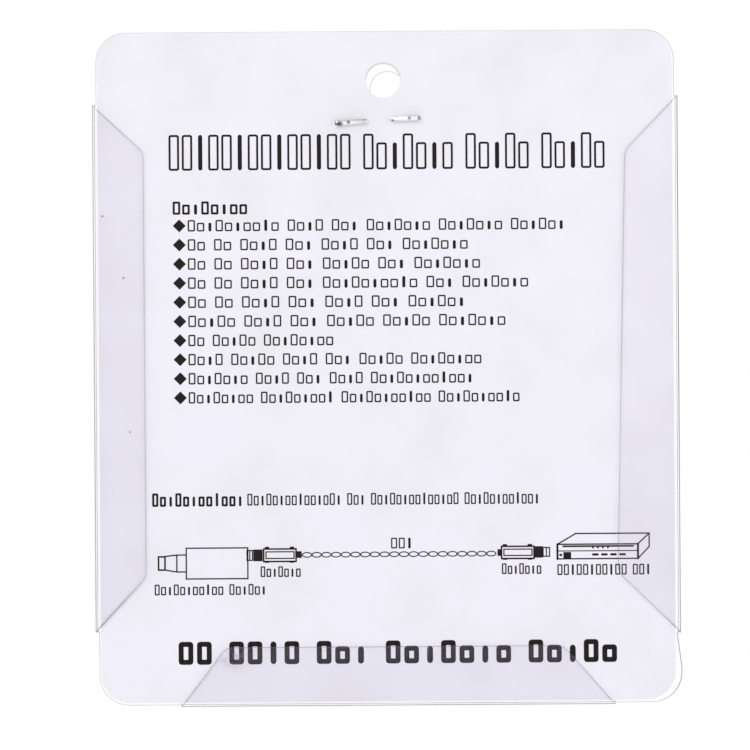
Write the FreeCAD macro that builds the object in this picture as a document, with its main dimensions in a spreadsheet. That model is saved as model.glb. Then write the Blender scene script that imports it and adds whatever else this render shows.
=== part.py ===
"""A stapled blister pack with a pair of video baluns, hung with its printed back to the viewer.

The pack is three pieces: a board card, a clear thermoformed sheet with one bubble, whose side and
bottom margins fold round the card's edges on to its back, and a wire staple through sheet and card.
In the bubble lie two equal baluns. Each has a bayonet plug with a turning nut, a collar, a two-part
housing, a circuit board with a small transformer, and a two-way screw terminal.

Millimetres. The origin is the centre of the card's hang hole on the card's back. +Z is up, +X is to
the right when the back is looked at, and +Y runs from the back to the bubble.
"""
import FreeCAD, Part
import math
import os
import Sketcher

doc = FreeCAD.newDocument("BlisterPack")

# Driving sizes: the name, the size, and what it is
SIZES = [
    ("card_width", 85.0, "backing card, side to side"),
    ("card_height", 99.1, "backing card, top to bottom"),
    ("card_thickness", 0.4, "coated board"),
    ("card_corner", 4.3, "radius of the card's corners"),
    ("card_top", 7.3, "hang hole's centre to the card's top edge"),
    ("hole_radius", 2.5, "hang hole in the card"),
    ("hole_left", 0.2, "hang hole, left of the card's middle"),
    ("sheet_thickness", 0.3, "clear sheet, everywhere"),
    ("sheet_margin_top", 0.09, "sheet past the card's top edge"),
    ("sheet_margin_right", 0.05, "sheet's free right edge, past the middle of the right bend"),
    ("sheet_margin_bottom", 0.3, "sheet's free bottom edge, past the middle of the bottom bend"),
    ("sheet_corner", 4.4, "radius of the sheet's corners"),
    ("sheet_flare", 0.65, "how far the sheet's free corner at the right swings out"),
    ("sheet_flare_foot", 0.8, "straight stretch between that swing and the round corner"),
    ("sheet_hole_radius", 2.55, "hang hole in the sheet"),
    ("sheet_hole_right", 0.66, "how far it sits to the right of the card's hole"),
    ("sheet_hole_drop", 1.19, "how far it sits below the card's hole"),
    ("fold_gap_left", 0.25, "card's edge to the middle of the left bend"),
    ("fold_gap_right", 0.3, "card's edge to the middle of the right bend"),
    ("fold_gap_bottom", 0.1, "card's edge to the middle of the bottom bend"),
    ("flap_corner", 1.2, "radius of a flap's two inner corners"),
    ("left_fold_top", 3.3, "left fold's upper end, below the hang hole"),
    ("left_fold_foot", 10.5, "left fold's lower end, above the card's bottom edge"),
    ("left_flap_width", 7.05, "left flap, bend to inner edge"),
    ("left_flap_cut", 7.0, "upper slant of the left flap, along the fold"),
    ("left_flap_foot", 8.0, "lower slant of the left flap, along the fold"),
    ("right_fold_top", 2.4, "right fold's upper end, below the hang hole"),
    ("right_fold_foot", 9.9, "right fold's lower end, above the card's bottom edge"),
    ("right_flap_width", 7.4, "right flap at its upper inner corner"),
    ("right_flap_widening", 1.4, "how much wider it is at its lower inner corner"),
    ("right_flap_cut", 8.1, "upper slant of the right flap, along the fold"),
    ("right_flap_foot", 9.0, "lower slant of the right flap, along the fold"),
    ("bottom_fold_left", 11.8, "bottom fold's left end, from the card's left edge"),
    ("bottom_fold_right", 8.9, "bottom fold's right end, from the card's right edge"),
    ("bottom_flap_width", 8.25, "bottom flap, bend to inner edge"),
    ("bottom_flap_cut_left", 6.7, "left slant of the bottom flap, along the fold"),
    ("bottom_flap_cut_right", 7.7, "right slant of the bottom flap, along the fold"),
    ("bubble_foot", 7.8, "bubble's lower edge, above the card's bottom edge"),
    ("bubble_side_room", 3.0, "a housing's side to the bubble's foot"),
    ("bubble_head_room", 3.9, "a nut's mouth to the bubble's upper edge at its foot"),
    ("bubble_front_room", 1.2, "a housing's front to the inside of the bubble's flat top"),
    ("bubble_draft", 5.0, "slope of the bubble's walls, degrees"),
    ("bubble_corner", 6.0, "radius between two of the bubble's walls"),
    ("bubble_rim", 2.4, "radius between the walls and the bubble's flat top"),
    ("staple_width", 13.0, "staple, outside to outside"),
    ("staple_wire_width", 0.7, "wire, across the staple"),
    ("staple_wire_thickness", 0.5, "wire, in the plane of the staple"),
    ("staple_leg_left", 4.9, "clinched part of the left leg"),
    ("staple_leg_right", 4.45, "clinched part of the right leg"),
    ("staple_rise", 0.3, "how far a clinched leg stands off the card at its bend"),
    ("staple_bend", 0.1, "inner radius of the staple's bends"),
    ("staple_left", 0.84, "staple's middle, left of the hang hole"),
    ("staple_drop", 5.9, "staple's middle, below the hang hole"),
    ("staple_tilt", 3.3, "right end higher, degrees"),
    ("balun_pitch", 27.0, "middle of one balun to the middle of the other"),
    ("balun_seat", 0.3, "room between a balun's lower end and the bubble"),
    ("housing_width", 17.0, "balun housing, side to side"),
    ("housing_over_nut", 0.5, "how much deeper the housing is than the nut, front to back"),
    ("housing_length", 28.0, "balun housing, along the plug's axis"),
    ("housing_wall", 1.5, "housing wall"),
    ("housing_corner", 3.0, "radius of the housing's long edges"),
    ("lip_width", 0.6, "lip that lines up the two housing parts"),
    ("lip_height", 0.8, "how far that lip reaches into the cover"),
    ("fit_gap", 0.05, "room between moulded parts that fit each other"),
    ("panel_side", 0.5, "sunk panel's side to the round of the cover's edge"),
    ("panel_end", 5.5, "sunk panel's end to the cover's end"),
    ("panel_depth", 0.4, "how deep that panel is sunk"),
    ("grip_count", 5, "ribs on each side of the housing"),
    ("grip_pitch", 2.4, "one rib to the next"),
    ("grip_height", 0.35, "how far a rib stands out"),
    ("grip_width", 1.1, "rib, along the axis"),
    ("terminal_width", 10.6, "screw terminal, side to side"),
    ("terminal_depth", 10.0, "screw terminal, front to back"),
    ("terminal_length", 10.0, "screw terminal, along the axis"),
    ("terminal_reach", 6.5, "how far the terminal stands out of the housing"),
    ("terminal_edge", 0.5, "bevel of the terminal's long edges"),
    ("way_pitch", 5.0, "one wire way to the other"),
    ("way_size", 3.4, "square wire way"),
    ("clamp_wall", 0.4, "sheet of the wire clamps"),
    ("tab_width", 1.2, "clamp's tab to the board"),
    ("screw_place", 3.2, "terminal's lower end to the screws' axis"),
    ("screw_radius", 1.45, "clamping screw"),
    ("screw_sunk", 0.4, "clamping screw below the terminal's face"),
    ("slot_width", 0.5, "screwdriver slot"),
    ("slot_depth", 0.6, "screwdriver slot"),
    ("neck_radius", 4.5, "plug's neck through the collar"),
    ("neck_flange_length", 1.2, "plug's six-sided flange inside the housing, along the axis"),
    ("collar_wall", 1.8, "collar between housing and nut"),
    ("collar_length", 5.0, "collar, along the axis"),
    ("nut_length", 13.5, "coupling nut, along the axis"),
    ("nut_wall", 1.65, "coupling nut in front of its knurled band"),
    ("nut_band", 0.65, "how far the knurled band stands out"),
    ("nut_band_length", 6.0, "knurled band, along the axis"),
    ("nut_lip", 1.6, "coupling nut's inner lip, along the axis"),
    ("nut_clearance", 0.05, "running clearance of the nut"),
    ("nut_gap", 0.4, "collar to the nut's lower face"),
    ("knurl_count", 20, "grooves of the knurl"),
    ("knurl_depth", 0.35, "depth of a groove of the knurl"),
    ("bayonet_slot_width", 2.2, "bayonet slot"),
    ("bayonet_slot_reach", 6.3, "mouth of the nut to the slot's end"),
    ("bayonet_groove_depth", 0.75, "straight way from the mouth, cut into the bore"),
    ("contact_radius", 4.05, "plug's outer contact"),
    ("contact_wall", 0.45, "wall of the outer contact"),
    ("contact_slit", 0.4, "slits in the outer contact"),
    ("contact_slit_length", 5.0, "those slits, along the axis"),
    ("contact_slits", 4, "number of slits"),
    ("contact_sunk", 0.6, "outer contact's end below the nut's mouth"),
    ("nut_flange", 1.0, "plug's flange that keeps the nut on, along the axis"),
    ("nut_flange_step", 0.4, "how far that flange stands out from the neck"),
    ("insulator_length", 5.0, "insulator inside the plug"),
    ("pin_radius", 0.675, "centre pin"),
    ("pin_tip", 1.0, "centre pin's taper"),
    ("pin_sunk", 1.2, "centre pin's end below the nut's mouth"),
    ("pin_tail", 4.0, "centre pin's tail on the board"),
    ("board_thickness", 1.0, "circuit board"),
    ("board_room", 0.8, "circuit board's side to the housing's inner wall"),
    ("core_size", 8.0, "ferrite core, each way along the board"),
    ("core_height", 3.2, "ferrite core, off the board"),
    ("core_leg", 2.0, "the core's middle leg"),
    ("coil_thickness", 0.9, "wire wound round the middle leg"),
]

sheet = doc.addObject("Spreadsheet::Sheet", "Sizes")
for row, (alias, size, meaning) in enumerate(SIZES, start=1):
    sheet.set(f"A{row}", alias)
    sheet.set(f"B{row}", str(size))
    sheet.setAlias(f"B{row}", alias)
    sheet.set(f"C{row}", meaning)
doc.recompute()

pieces = []


def value(expression):
    """What an expression on the sheet's sizes comes to."""
    return float(sheet.evalExpression(expression))


def new_body(label, across="0", deep="0", up="0"):
    """A sub-part, placed by expressions."""
    body = doc.addObject("PartDesign::Body", label)
    body.Label = label
    for axis, expression in (("x", across), ("y", deep), ("z", up)):
        body.setExpression(f"Placement.Base.{axis}", expression)
    pieces.append(body)
    return body


def plane_of(body, role):
    """One of the body's own origin planes or axes."""
    return next(feature for feature in body.Origin.OriginFeatures if feature.Role == role)


def new_sketch(body, name, plane, offset="0"):
    """A sketch on one of the body's origin planes, moved along that plane's normal."""
    sketch = body.newObject("Sketcher::SketchObject", name)
    sketch.AttachmentSupport = [(plane_of(body, plane), "")]
    sketch.MapMode = "FlatFace"
    sketch.setExpression("AttachmentOffset.Base.z", offset)
    return sketch


def pin_point(sketch, geometry, point, across, up):
    """Holds a point of the sketch at two expressions, measured from the sketch's origin."""
    for kind, expression in (("DistanceX", across), ("DistanceY", up)):
        constraint = Sketcher.Constraint(kind, -1, 1, geometry, point, value(expression))
        number = sketch.addConstraint(constraint)
        sketch.setExpression(f"Constraints[{number}]", expression)


def outline(sketch, corners):
    """A closed polygon through corners that are given as pairs of expressions."""
    places = [FreeCAD.Vector(value(across), value(up), 0) for across, up in corners]
    first = sketch.GeometryCount
    count = len(corners)
    for index in range(count):
        sketch.addGeometry(Part.LineSegment(places[index], places[(index + 1) % count]), False)
    for index in range(count):
        following = first + (index + 1) % count
        sketch.addConstraint(Sketcher.Constraint("Coincident", first + index, 2, following, 1))
    for index, (across, up) in enumerate(corners):
        pin_point(sketch, first + index, 1, across, up)


def rectangle(sketch, left, right, low, high):
    """A closed rectangle between four expressions."""
    outline(sketch, [(left, low), (right, low), (right, high), (left, high)])


def rounded_rectangle(sketch, left, right, low, high, radius):
    """A closed rectangle between four expressions, with four equal round corners."""
    sides = [value(left), value(low), value(right), value(high)]
    bow = value(radius)
    x_low, z_low, x_high, z_high = sides[0] + bow, sides[1] + bow, sides[2] - bow, sides[3] - bow
    turns = [
        (x_high, z_low, f"{right} - {radius}", f"{low} + {radius}"),
        (x_high, z_high, f"{right} - {radius}", f"{high} - {radius}"),
        (x_low, z_high, f"{left} + {radius}", f"{high} - {radius}"),
        (x_low, z_low, f"{left} + {radius}", f"{low} + {radius}"),
    ]
    arcs = []
    for quarter, (across, up, across_expression, up_expression) in enumerate(turns):
        start = (quarter - 1) * math.pi / 2
        ring = Part.Circle(FreeCAD.Vector(across, up, 0), FreeCAD.Vector(0, 0, 1), bow)
        arc = sketch.addGeometry(Part.ArcOfCircle(ring, start, start + math.pi / 2), False)
        pin_point(sketch, arc, 3, across_expression, up_expression)
        bind_radius(sketch, arc, radius)
        arcs.append(arc)
    for arc, following in zip(arcs, arcs[1:] + arcs[:1]):
        ends = sketch.getPoint(arc, 2), sketch.getPoint(following, 1)
        side = sketch.addGeometry(Part.LineSegment(*ends), False)
        sketch.addConstraint(Sketcher.Constraint("Tangent", arc, 2, side, 1))
        sketch.addConstraint(Sketcher.Constraint("Tangent", side, 2, following, 1))


def bind_radius(sketch, geometry, radius):
    """Holds a circle or an arc at a radius that is given as an expression."""
    number = sketch.addConstraint(Sketcher.Constraint("Radius", geometry, value(radius)))
    sketch.setExpression(f"Constraints[{number}]", radius)


def circle(sketch, across, up, radius):
    """A circle whose centre and radius are expressions."""
    centre = FreeCAD.Vector(value(across), value(up), 0)
    ring = Part.Circle(centre, FreeCAD.Vector(0, 0, 1), value(radius))
    geometry = sketch.addGeometry(ring, False)
    pin_point(sketch, geometry, 3, across, up)
    bind_radius(sketch, geometry, radius)


def half_ring(sketch, across, up, inner, outer, start_degrees):
    """Half of a flat ring: two half circles about one centre, closed by two short lines."""
    centre = FreeCAD.Vector(value(across), value(up), 0)
    normal = FreeCAD.Vector(0, 0, 1)
    start = math.radians(start_degrees)
    arcs = []
    for radius in (inner, outer):
        bow = Part.ArcOfCircle(Part.Circle(centre, normal, value(radius)), start, start + math.pi)
        geometry = sketch.addGeometry(bow, False)
        pin_point(sketch, geometry, 3, across, up)
        bind_radius(sketch, geometry, radius)
        arcs.append(geometry)
    lined_up = "Vertical" if start_degrees % 180 == 90 else "Horizontal"
    for end in (1, 2):
        ends = [sketch.getPoint(arc, end) for arc in arcs]
        line = sketch.addGeometry(Part.LineSegment(*ends), False)
        for arc, side in zip(arcs, (1, 2)):
            sketch.addConstraint(Sketcher.Constraint("Coincident", line, side, arc, end))
        sketch.addConstraint(Sketcher.Constraint(lined_up, arcs[0], end, arcs[0], 3))
        sketch.addConstraint(Sketcher.Constraint(lined_up, line))


def goes_along(sketch, towards):
    """Whether a direction is the one that the sketch's plane faces."""
    faces = {"XY_Plane": "+Z", "XZ_Plane": "-Y", "YZ_Plane": "+X"}
    return faces[sketch.AttachmentSupport[0][0].Role] == towards


def pad(body, name, sketch, length, towards, draft=None):
    """Grows a sketch into a solid, towards one side or, where that is None, to both."""
    feature = body.newObject("PartDesign::Pad", name)
    feature.Profile = sketch
    feature.setExpression("Length", length)
    feature.SideType = "One side" if towards else "Symmetric"
    feature.Reversed = bool(towards) and not goes_along(sketch, towards)
    if draft:
        feature.setExpression("TaperAngle", draft)
    doc.recompute()
    return feature


def pocket(body, name, sketch, length, towards, draft=None):
    """Cuts a sketch out of the solid as pad grows it, and makes sure that it cuts something."""
    before = body.Shape.Volume
    feature = body.newObject("PartDesign::Pocket", name)
    feature.Profile = sketch
    feature.setExpression("Length", length)
    feature.SideType = "One side" if towards else "Symmetric"
    feature.Reversed = bool(towards) and goes_along(sketch, towards)
    if draft:
        feature.setExpression("TaperAngle", draft)
    doc.recompute()
    if not body.Shape.Volume < before:
        raise RuntimeError(f"{body.Label}: {name} cuts nothing")
    return feature


def revolve(body, name, sketch):
    """Turns a sketch about its upright axis."""
    feature = body.newObject("PartDesign::Revolution", name)
    feature.Profile = sketch
    feature.ReferenceAxis = (sketch, ["V_Axis"])
    feature.Angle = 360
    doc.recompute()
    return feature


def around(body, name, feature, count):
    """Repeats a feature about the body's upright axis."""
    pattern = body.newObject("PartDesign::PolarPattern", name)
    pattern.Originals = [feature]
    pattern.Axis = (plane_of(body, "Z_Axis"), [""])
    pattern.Angle = 360
    pattern.setExpression("Occurrences", count)
    body.Tip = pattern
    doc.recompute()
    return pattern


def edges_where(shape, wanted):
    """Names of the edges that a test on their ends' box picks."""
    names = []
    for number, edge in enumerate(shape.Edges, start=1):
        if wanted(edge, edge.BoundBox):
            names.append(f"Edge{number}")
    if not names:
        raise RuntimeError("no edge found to round")
    return names


def fillet(body, name, radius, wanted):
    """Rounds the edges of the body that a test picks."""
    base = body.Tip
    feature = body.newObject("PartDesign::Fillet", name)
    feature.Base = (base, edges_where(base.Shape, wanted))
    feature.setExpression("Radius", radius)
    doc.recompute()
    return feature


def chamfer(body, name, size, wanted):
    """Bevels the edges of the body that a test picks."""
    base = body.Tip
    feature = body.newObject("PartDesign::Chamfer", name)
    feature.Base = (base, edges_where(base.Shape, wanted))
    feature.setExpression("Size", size)
    doc.recompute()
    return feature


def near(one, other):
    """Whether two lengths are the same, apart from rounding."""
    return abs(one - other) < 1e-4


# A balun is drawn about its plug's axis, with its lower end, the screw terminal's face, at z = 0.
# First its places along the axis, then its half widths about the axis, from the neck outwards.

HOUSING_LOW = "Sizes.terminal_reach"
HOUSING_HIGH = "(Sizes.terminal_reach + Sizes.housing_length)"
COLLAR_HIGH = f"({HOUSING_HIGH} + Sizes.collar_length)"
NUT_LOW = f"({COLLAR_HIGH} + Sizes.nut_gap)"
NUT_HIGH = f"({NUT_LOW} + Sizes.nut_length)"
LIP_HIGH = f"({NUT_LOW} + Sizes.nut_lip)"
FLANGE_LOW = f"({LIP_HIGH} + Sizes.nut_clearance)"
FLANGE_HIGH = f"({FLANGE_LOW} + Sizes.nut_flange)"
CONTACT_HIGH = f"({NUT_HIGH} - Sizes.contact_sunk)"
SHANK_LOW = f"({HOUSING_HIGH} - Sizes.housing_wall - Sizes.neck_flange_length)"
INSULATOR_LOW = f"({FLANGE_HIGH} - Sizes.insulator_length)"
BOARD_LOW = "Sizes.terminal_length"
BOARD_HIGH = f"({SHANK_LOW} - Sizes.fit_gap)"
CORE_UP = f"(({BOARD_LOW} + {BOARD_HIGH}) / 2)"

CONTACT_BORE = "(Sizes.contact_radius - Sizes.contact_wall)"
FLANGE_RADIUS = "(Sizes.neck_radius + Sizes.nut_flange_step)"
NUT_BORE = f"({FLANGE_RADIUS} + Sizes.nut_clearance)"
SLEEVE_RADIUS = f"({NUT_BORE} + Sizes.nut_wall)"
NUT_RADIUS = f"({SLEEVE_RADIUS} + Sizes.nut_band)"
HALF_DEPTH = f"({NUT_RADIUS} + Sizes.housing_over_nut / 2)"
HALF_WIDTH = "(Sizes.housing_width / 2)"
BOARD_FACE = "-Sizes.pin_radius"


# The card: one piece of coated board with round corners, a hang hole and two holes that the
# staple's legs have pierced. Its back, with the print, is the plane y = 0.

CARD_RIGHT = "(Sizes.hole_left + Sizes.card_width / 2)"
CARD_LEFT = "(Sizes.hole_left - Sizes.card_width / 2)"
CARD_TOP = "Sizes.card_top"
CARD_BOTTOM = "(Sizes.card_top - Sizes.card_height)"
PANEL_FACE = "(Sizes.card_thickness + Sizes.sheet_thickness)"


def leg_holes(body, name, offset, length):
    """The two slots that the legs pass through, tilted as the staple is, with room for its bends."""
    sketch = new_sketch(body, name + "_sketch", "XZ_Plane", offset)
    half_across = "(Sizes.staple_wire_thickness / 2 + Sizes.staple_bend)"
    half_up = "(Sizes.staple_wire_width / 2 + Sizes.staple_bend)"
    reach = "(Sizes.staple_width - Sizes.staple_wire_thickness) / 2"
    cosine, sine = "cos(Sizes.staple_tilt)", "sin(Sizes.staple_tilt)"
    for side in ("-1", "1"):
        corners = []
        for across, up in (("-1", "-1"), ("1", "-1"), ("1", "1"), ("-1", "1")):
            along = f"({side} * {reach} + {across} * {half_across})"
            rise = f"({up} * {half_up})"
            corners.append((f"-Sizes.staple_left + {along} * {cosine} - {rise} * {sine}",
                            f"-Sizes.staple_drop + {along} * {sine} + {rise} * {cosine}"))
        outline(sketch, corners)
    return pocket(body, name, sketch, length, "+Y")


def build_card():
    """The printed board that carries everything."""
    body = new_body("backing_card")
    face = new_sketch(body, "card_sketch", "XZ_Plane")
    rectangle(face, CARD_LEFT, CARD_RIGHT, CARD_BOTTOM, CARD_TOP)
    circle(face, "0", "0", "Sizes.hole_radius")
    pad(body, "card_board", face, "Sizes.card_thickness", "+Y")
    thickness = value("Sizes.card_thickness")
    fillet(body, "card_corners", "Sizes.card_corner",
           lambda edge, box: near(box.YLength, thickness) and len(edge.Vertexes) == 2
           and near(box.XLength, 0)
           and (near(box.XMin, value(CARD_LEFT)) or near(box.XMin, value(CARD_RIGHT))))
    leg_holes(body, "card_leg_holes", "0", "Sizes.card_thickness")


# The clear sheet: one thermoformed piece. Its panel lies on the card's front, the bubble rises from
# it, and its left, right and bottom margins bend round the card's edges and lie on the back.

SHEET = "Sizes.sheet_thickness"
LEFT_BEND = f"({CARD_LEFT} - Sizes.fold_gap_left)"
RIGHT_BEND = f"({CARD_RIGHT} + Sizes.fold_gap_right)"
BOTTOM_BEND = f"({CARD_BOTTOM} - Sizes.fold_gap_bottom)"
SHEET_RIGHT = f"({RIGHT_BEND} + Sizes.sheet_margin_right)"
SHEET_TOP = f"({CARD_TOP} + Sizes.sheet_margin_top)"
SHEET_BOTTOM = f"({BOTTOM_BEND} - Sizes.sheet_margin_bottom)"
LEFT_FOLD_HIGH = "-Sizes.left_fold_top"
LEFT_FOLD_LOW = f"({CARD_BOTTOM} + Sizes.left_fold_foot)"
RIGHT_FOLD_HIGH = "-Sizes.right_fold_top"
RIGHT_FOLD_LOW = f"({CARD_BOTTOM} + Sizes.right_fold_foot)"
BOTTOM_FOLD_LEFT = f"({CARD_LEFT} + Sizes.bottom_fold_left)"
BOTTOM_FOLD_RIGHT = f"({CARD_RIGHT} - Sizes.bottom_fold_right)"
BEND_INNER = "Sizes.card_thickness / 2"
BEND_OUTER = "(Sizes.card_thickness / 2 + Sizes.sheet_thickness)"

# The bubble is as wide, as high and as deep as the two baluns in it need, and they stand on its
# lower wall, which slopes, with their backs against the card.

BUBBLE_FOOT = f"({CARD_BOTTOM} + Sizes.bubble_foot)"
TERMINAL_FRONT = f"({HALF_DEPTH} + Sizes.terminal_depth / 2)"
BALUN_FOOT = (f"({BUBBLE_FOOT} + Sizes.sheet_thickness / cos(Sizes.bubble_draft)"
              f" + {TERMINAL_FRONT} * tan(Sizes.bubble_draft) + Sizes.balun_seat)")
BUBBLE_HEAD = f"({BALUN_FOOT} + {NUT_HIGH} + Sizes.bubble_head_room)"
BUBBLE_SIDE = f"(Sizes.balun_pitch / 2 + {HALF_WIDTH} + Sizes.bubble_side_room)"
BUBBLE_DEPTH = f"(2 * {HALF_DEPTH} + Sizes.bubble_front_room + Sizes.sheet_thickness)"


def sheet_panel(body):
    """The flat part on the card's front, cut back where the margins fold."""
    flat = new_sketch(body, "panel_sketch", "XZ_Plane", "-Sizes.card_thickness")
    flare = f"({SHEET_RIGHT} + Sizes.sheet_flare)"
    flare_low = f"({SHEET_BOTTOM} + Sizes.sheet_corner + Sizes.sheet_flare_foot)"
    outline(flat, [(LEFT_BEND, SHEET_BOTTOM), (flare, SHEET_BOTTOM), (flare, flare_low),
                   (SHEET_RIGHT, RIGHT_FOLD_LOW), (SHEET_RIGHT, SHEET_TOP), (LEFT_BEND, SHEET_TOP)])
    pad(body, "panel", flat, SHEET, "+Y")
    low, high = value(SHEET_BOTTOM), value(SHEET_TOP)
    fillet(body, "panel_corners", "Sizes.sheet_corner",
           lambda edge, box: near(box.XLength, 0) and near(box.ZLength, 0)
           and (near(box.ZMin, low) or near(box.ZMin, high)))
    margin = new_sketch(body, "fold_cut_sketch", "XZ_Plane", "-Sizes.card_thickness")
    beyond_right = f"({SHEET_RIGHT} + Sizes.sheet_flare + Sizes.sheet_thickness)"
    beyond_bottom = f"({SHEET_BOTTOM} - Sizes.sheet_thickness)"
    rectangle(margin, RIGHT_BEND, beyond_right, RIGHT_FOLD_LOW, RIGHT_FOLD_HIGH)
    rectangle(margin, BOTTOM_FOLD_LEFT, BOTTOM_FOLD_RIGHT, beyond_bottom, BOTTOM_BEND)
    pocket(body, "fold_cuts", margin, SHEET, "+Y")


def bubble_walls(body, name, inset, depth, cut):
    """A tapered box with round corners: the bubble's outside, or its inside, an inset smaller."""
    base = new_sketch(body, name + "_sketch", "XZ_Plane", "-Sizes.card_thickness")
    half = f"({BUBBLE_SIDE} - {inset})"
    low = f"({BUBBLE_FOOT} + {inset})"
    high = f"({BUBBLE_HEAD} - {inset})"
    rounded_rectangle(base, f"-{half}", half, low, high, f"(Sizes.bubble_corner - {inset})")
    make = pocket if cut else pad
    make(body, name, base, depth, "+Y", draft="-Sizes.bubble_draft")


def build_sheet():
    """The clear sheet with its bubble, its three folded flaps and its hang hole."""
    body = new_body("clear_blister")
    sheet_panel(body)
    bubble_walls(body, "bubble_outside", "0", BUBBLE_DEPTH, cut=False)
    bubble_walls(body, "bubble_inside", SHEET, f"({BUBBLE_DEPTH} - {SHEET})", cut=True)
    top = value(f"Sizes.card_thickness + {BUBBLE_DEPTH}")
    ceiling = top - value(SHEET)
    fillet(body, "bubble_inner_rim", f"(Sizes.bubble_rim - {SHEET})",
           lambda edge, box: near(box.YMin, ceiling) and near(box.YMax, ceiling))
    fillet(body, "bubble_rim", "Sizes.bubble_rim",
           lambda edge, box: near(box.YMin, top) and near(box.YMax, top))
    fold_flaps(body)
    hole = new_sketch(body, "sheet_hole_sketch", "XZ_Plane", "-Sizes.card_thickness")
    circle(hole, "Sizes.sheet_hole_right", "-Sizes.sheet_hole_drop", "Sizes.sheet_hole_radius")
    pocket(body, "sheet_hole", hole, SHEET, "+Y")
    leg_holes(body, "sheet_leg_holes", "-Sizes.card_thickness", SHEET)


def fold_flaps(body):
    """The three margins: a half-round bend along each fold, and a flap with slanted ends."""
    middle = "Sizes.card_thickness / 2"
    flaps = [
        ("left", "XY_Plane", (LEFT_BEND, middle), 90,
         LEFT_FOLD_LOW, f"({LEFT_FOLD_HIGH} - {LEFT_FOLD_LOW})",
         [(LEFT_BEND, LEFT_FOLD_HIGH), (LEFT_BEND, LEFT_FOLD_LOW),
          (f"{LEFT_BEND} + Sizes.left_flap_width", f"{LEFT_FOLD_LOW} + Sizes.left_flap_foot"),
          (f"{LEFT_BEND} + Sizes.left_flap_width", f"{LEFT_FOLD_HIGH} - Sizes.left_flap_cut")]),
        ("right", "XY_Plane", (RIGHT_BEND, middle), 270,
         RIGHT_FOLD_LOW, f"({RIGHT_FOLD_HIGH} - {RIGHT_FOLD_LOW})",
         [(RIGHT_BEND, RIGHT_FOLD_HIGH), (RIGHT_BEND, RIGHT_FOLD_LOW),
          (f"{RIGHT_BEND} - Sizes.right_flap_width - Sizes.right_flap_widening",
           f"{RIGHT_FOLD_LOW} + Sizes.right_flap_foot"),
          (f"{RIGHT_BEND} - Sizes.right_flap_width", f"{RIGHT_FOLD_HIGH} - Sizes.right_flap_cut")]),
        ("bottom", "YZ_Plane", (middle, BOTTOM_BEND), 180,
         BOTTOM_FOLD_LEFT, f"({BOTTOM_FOLD_RIGHT} - {BOTTOM_FOLD_LEFT})",
         [(BOTTOM_FOLD_LEFT, BOTTOM_BEND), (BOTTOM_FOLD_RIGHT, BOTTOM_BEND),
          (f"{BOTTOM_FOLD_RIGHT} - Sizes.bottom_flap_cut_right",
           f"{BOTTOM_BEND} + Sizes.bottom_flap_width"),
          (f"{BOTTOM_FOLD_LEFT} + Sizes.bottom_flap_cut_left",
           f"{BOTTOM_BEND} + Sizes.bottom_flap_width")]),
    ]
    for side, plane, centre, start, offset, length, corners in flaps:
        bend = new_sketch(body, side + "_bend_sketch", plane, offset)
        half_ring(bend, *centre, BEND_INNER, BEND_OUTER, start)
        pad(body, side + "_bend", bend, length, "+X" if side == "bottom" else "+Z")
        flap = new_sketch(body, side + "_flap_sketch", "XZ_Plane")
        outline(flap, corners)
        pad(body, side + "_flap", flap, SHEET, "-Y")
        inner = [(value(across), value(up)) for across, up in corners[2:]]
        fillet(body, side + "_flap_corners", "Sizes.flap_corner",
               lambda edge, box: near(box.YMax, 0) and near(box.XLength, 0) and near(box.ZLength, 0)
               and any(near(box.XMin, x) and near(box.ZMin, z) for x, z in inner))


# The staple: one flat wire. Its crown lies on the sheet, its legs pass through sheet and card, and
# on the card's back both legs are bent inwards until their tips touch the card.

def build_staple():
    """The bent wire, drawn as an outline in the staple's own plane."""
    body = new_body("staple", "-Sizes.staple_left", "0", "-Sizes.staple_drop")
    body.Placement.Rotation = FreeCAD.Rotation(FreeCAD.Vector(0, 1, 0), 0)
    body.setExpression("Placement.Rotation.Angle", "-Sizes.staple_tilt")
    wire = "Sizes.staple_wire_thickness"
    half = "Sizes.staple_width / 2"
    crown = PANEL_FACE
    low = f"(-{wire} - Sizes.staple_rise)"
    corners = [
        (f"-{half}", f"{crown} + {wire}"), (half, f"{crown} + {wire}"), (half, low),
        (f"{half} - Sizes.staple_leg_right", f"-{wire}"), (f"{half} - Sizes.staple_leg_right", "0"),
        (f"{half} - {wire}", "-Sizes.staple_rise"), (f"{half} - {wire}", crown),
        (f"-{half} + {wire}", crown), (f"-{half} + {wire}", "-Sizes.staple_rise"),
        (f"-{half} + Sizes.staple_leg_left", "0"), (f"-{half} + Sizes.staple_leg_left", f"-{wire}"),
        (f"-{half}", low),
    ]
    bent = new_sketch(body, "wire_sketch", "XY_Plane")
    outline(bent, corners)
    pad(body, "wire", bent, "Sizes.staple_wire_width", None)
    outer = value(half)
    inner = outer - value(wire)
    fillet(body, "outer_bends", "(Sizes.staple_bend + Sizes.staple_wire_thickness)",
           lambda edge, box: near(box.XLength, 0) and near(box.YLength, 0)
           and near(abs(box.XMin), outer))
    fillet(body, "inner_bends", "Sizes.staple_bend",
           lambda edge, box: near(box.XLength, 0) and near(box.YLength, 0)
           and near(abs(box.XMin), inner))


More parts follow.
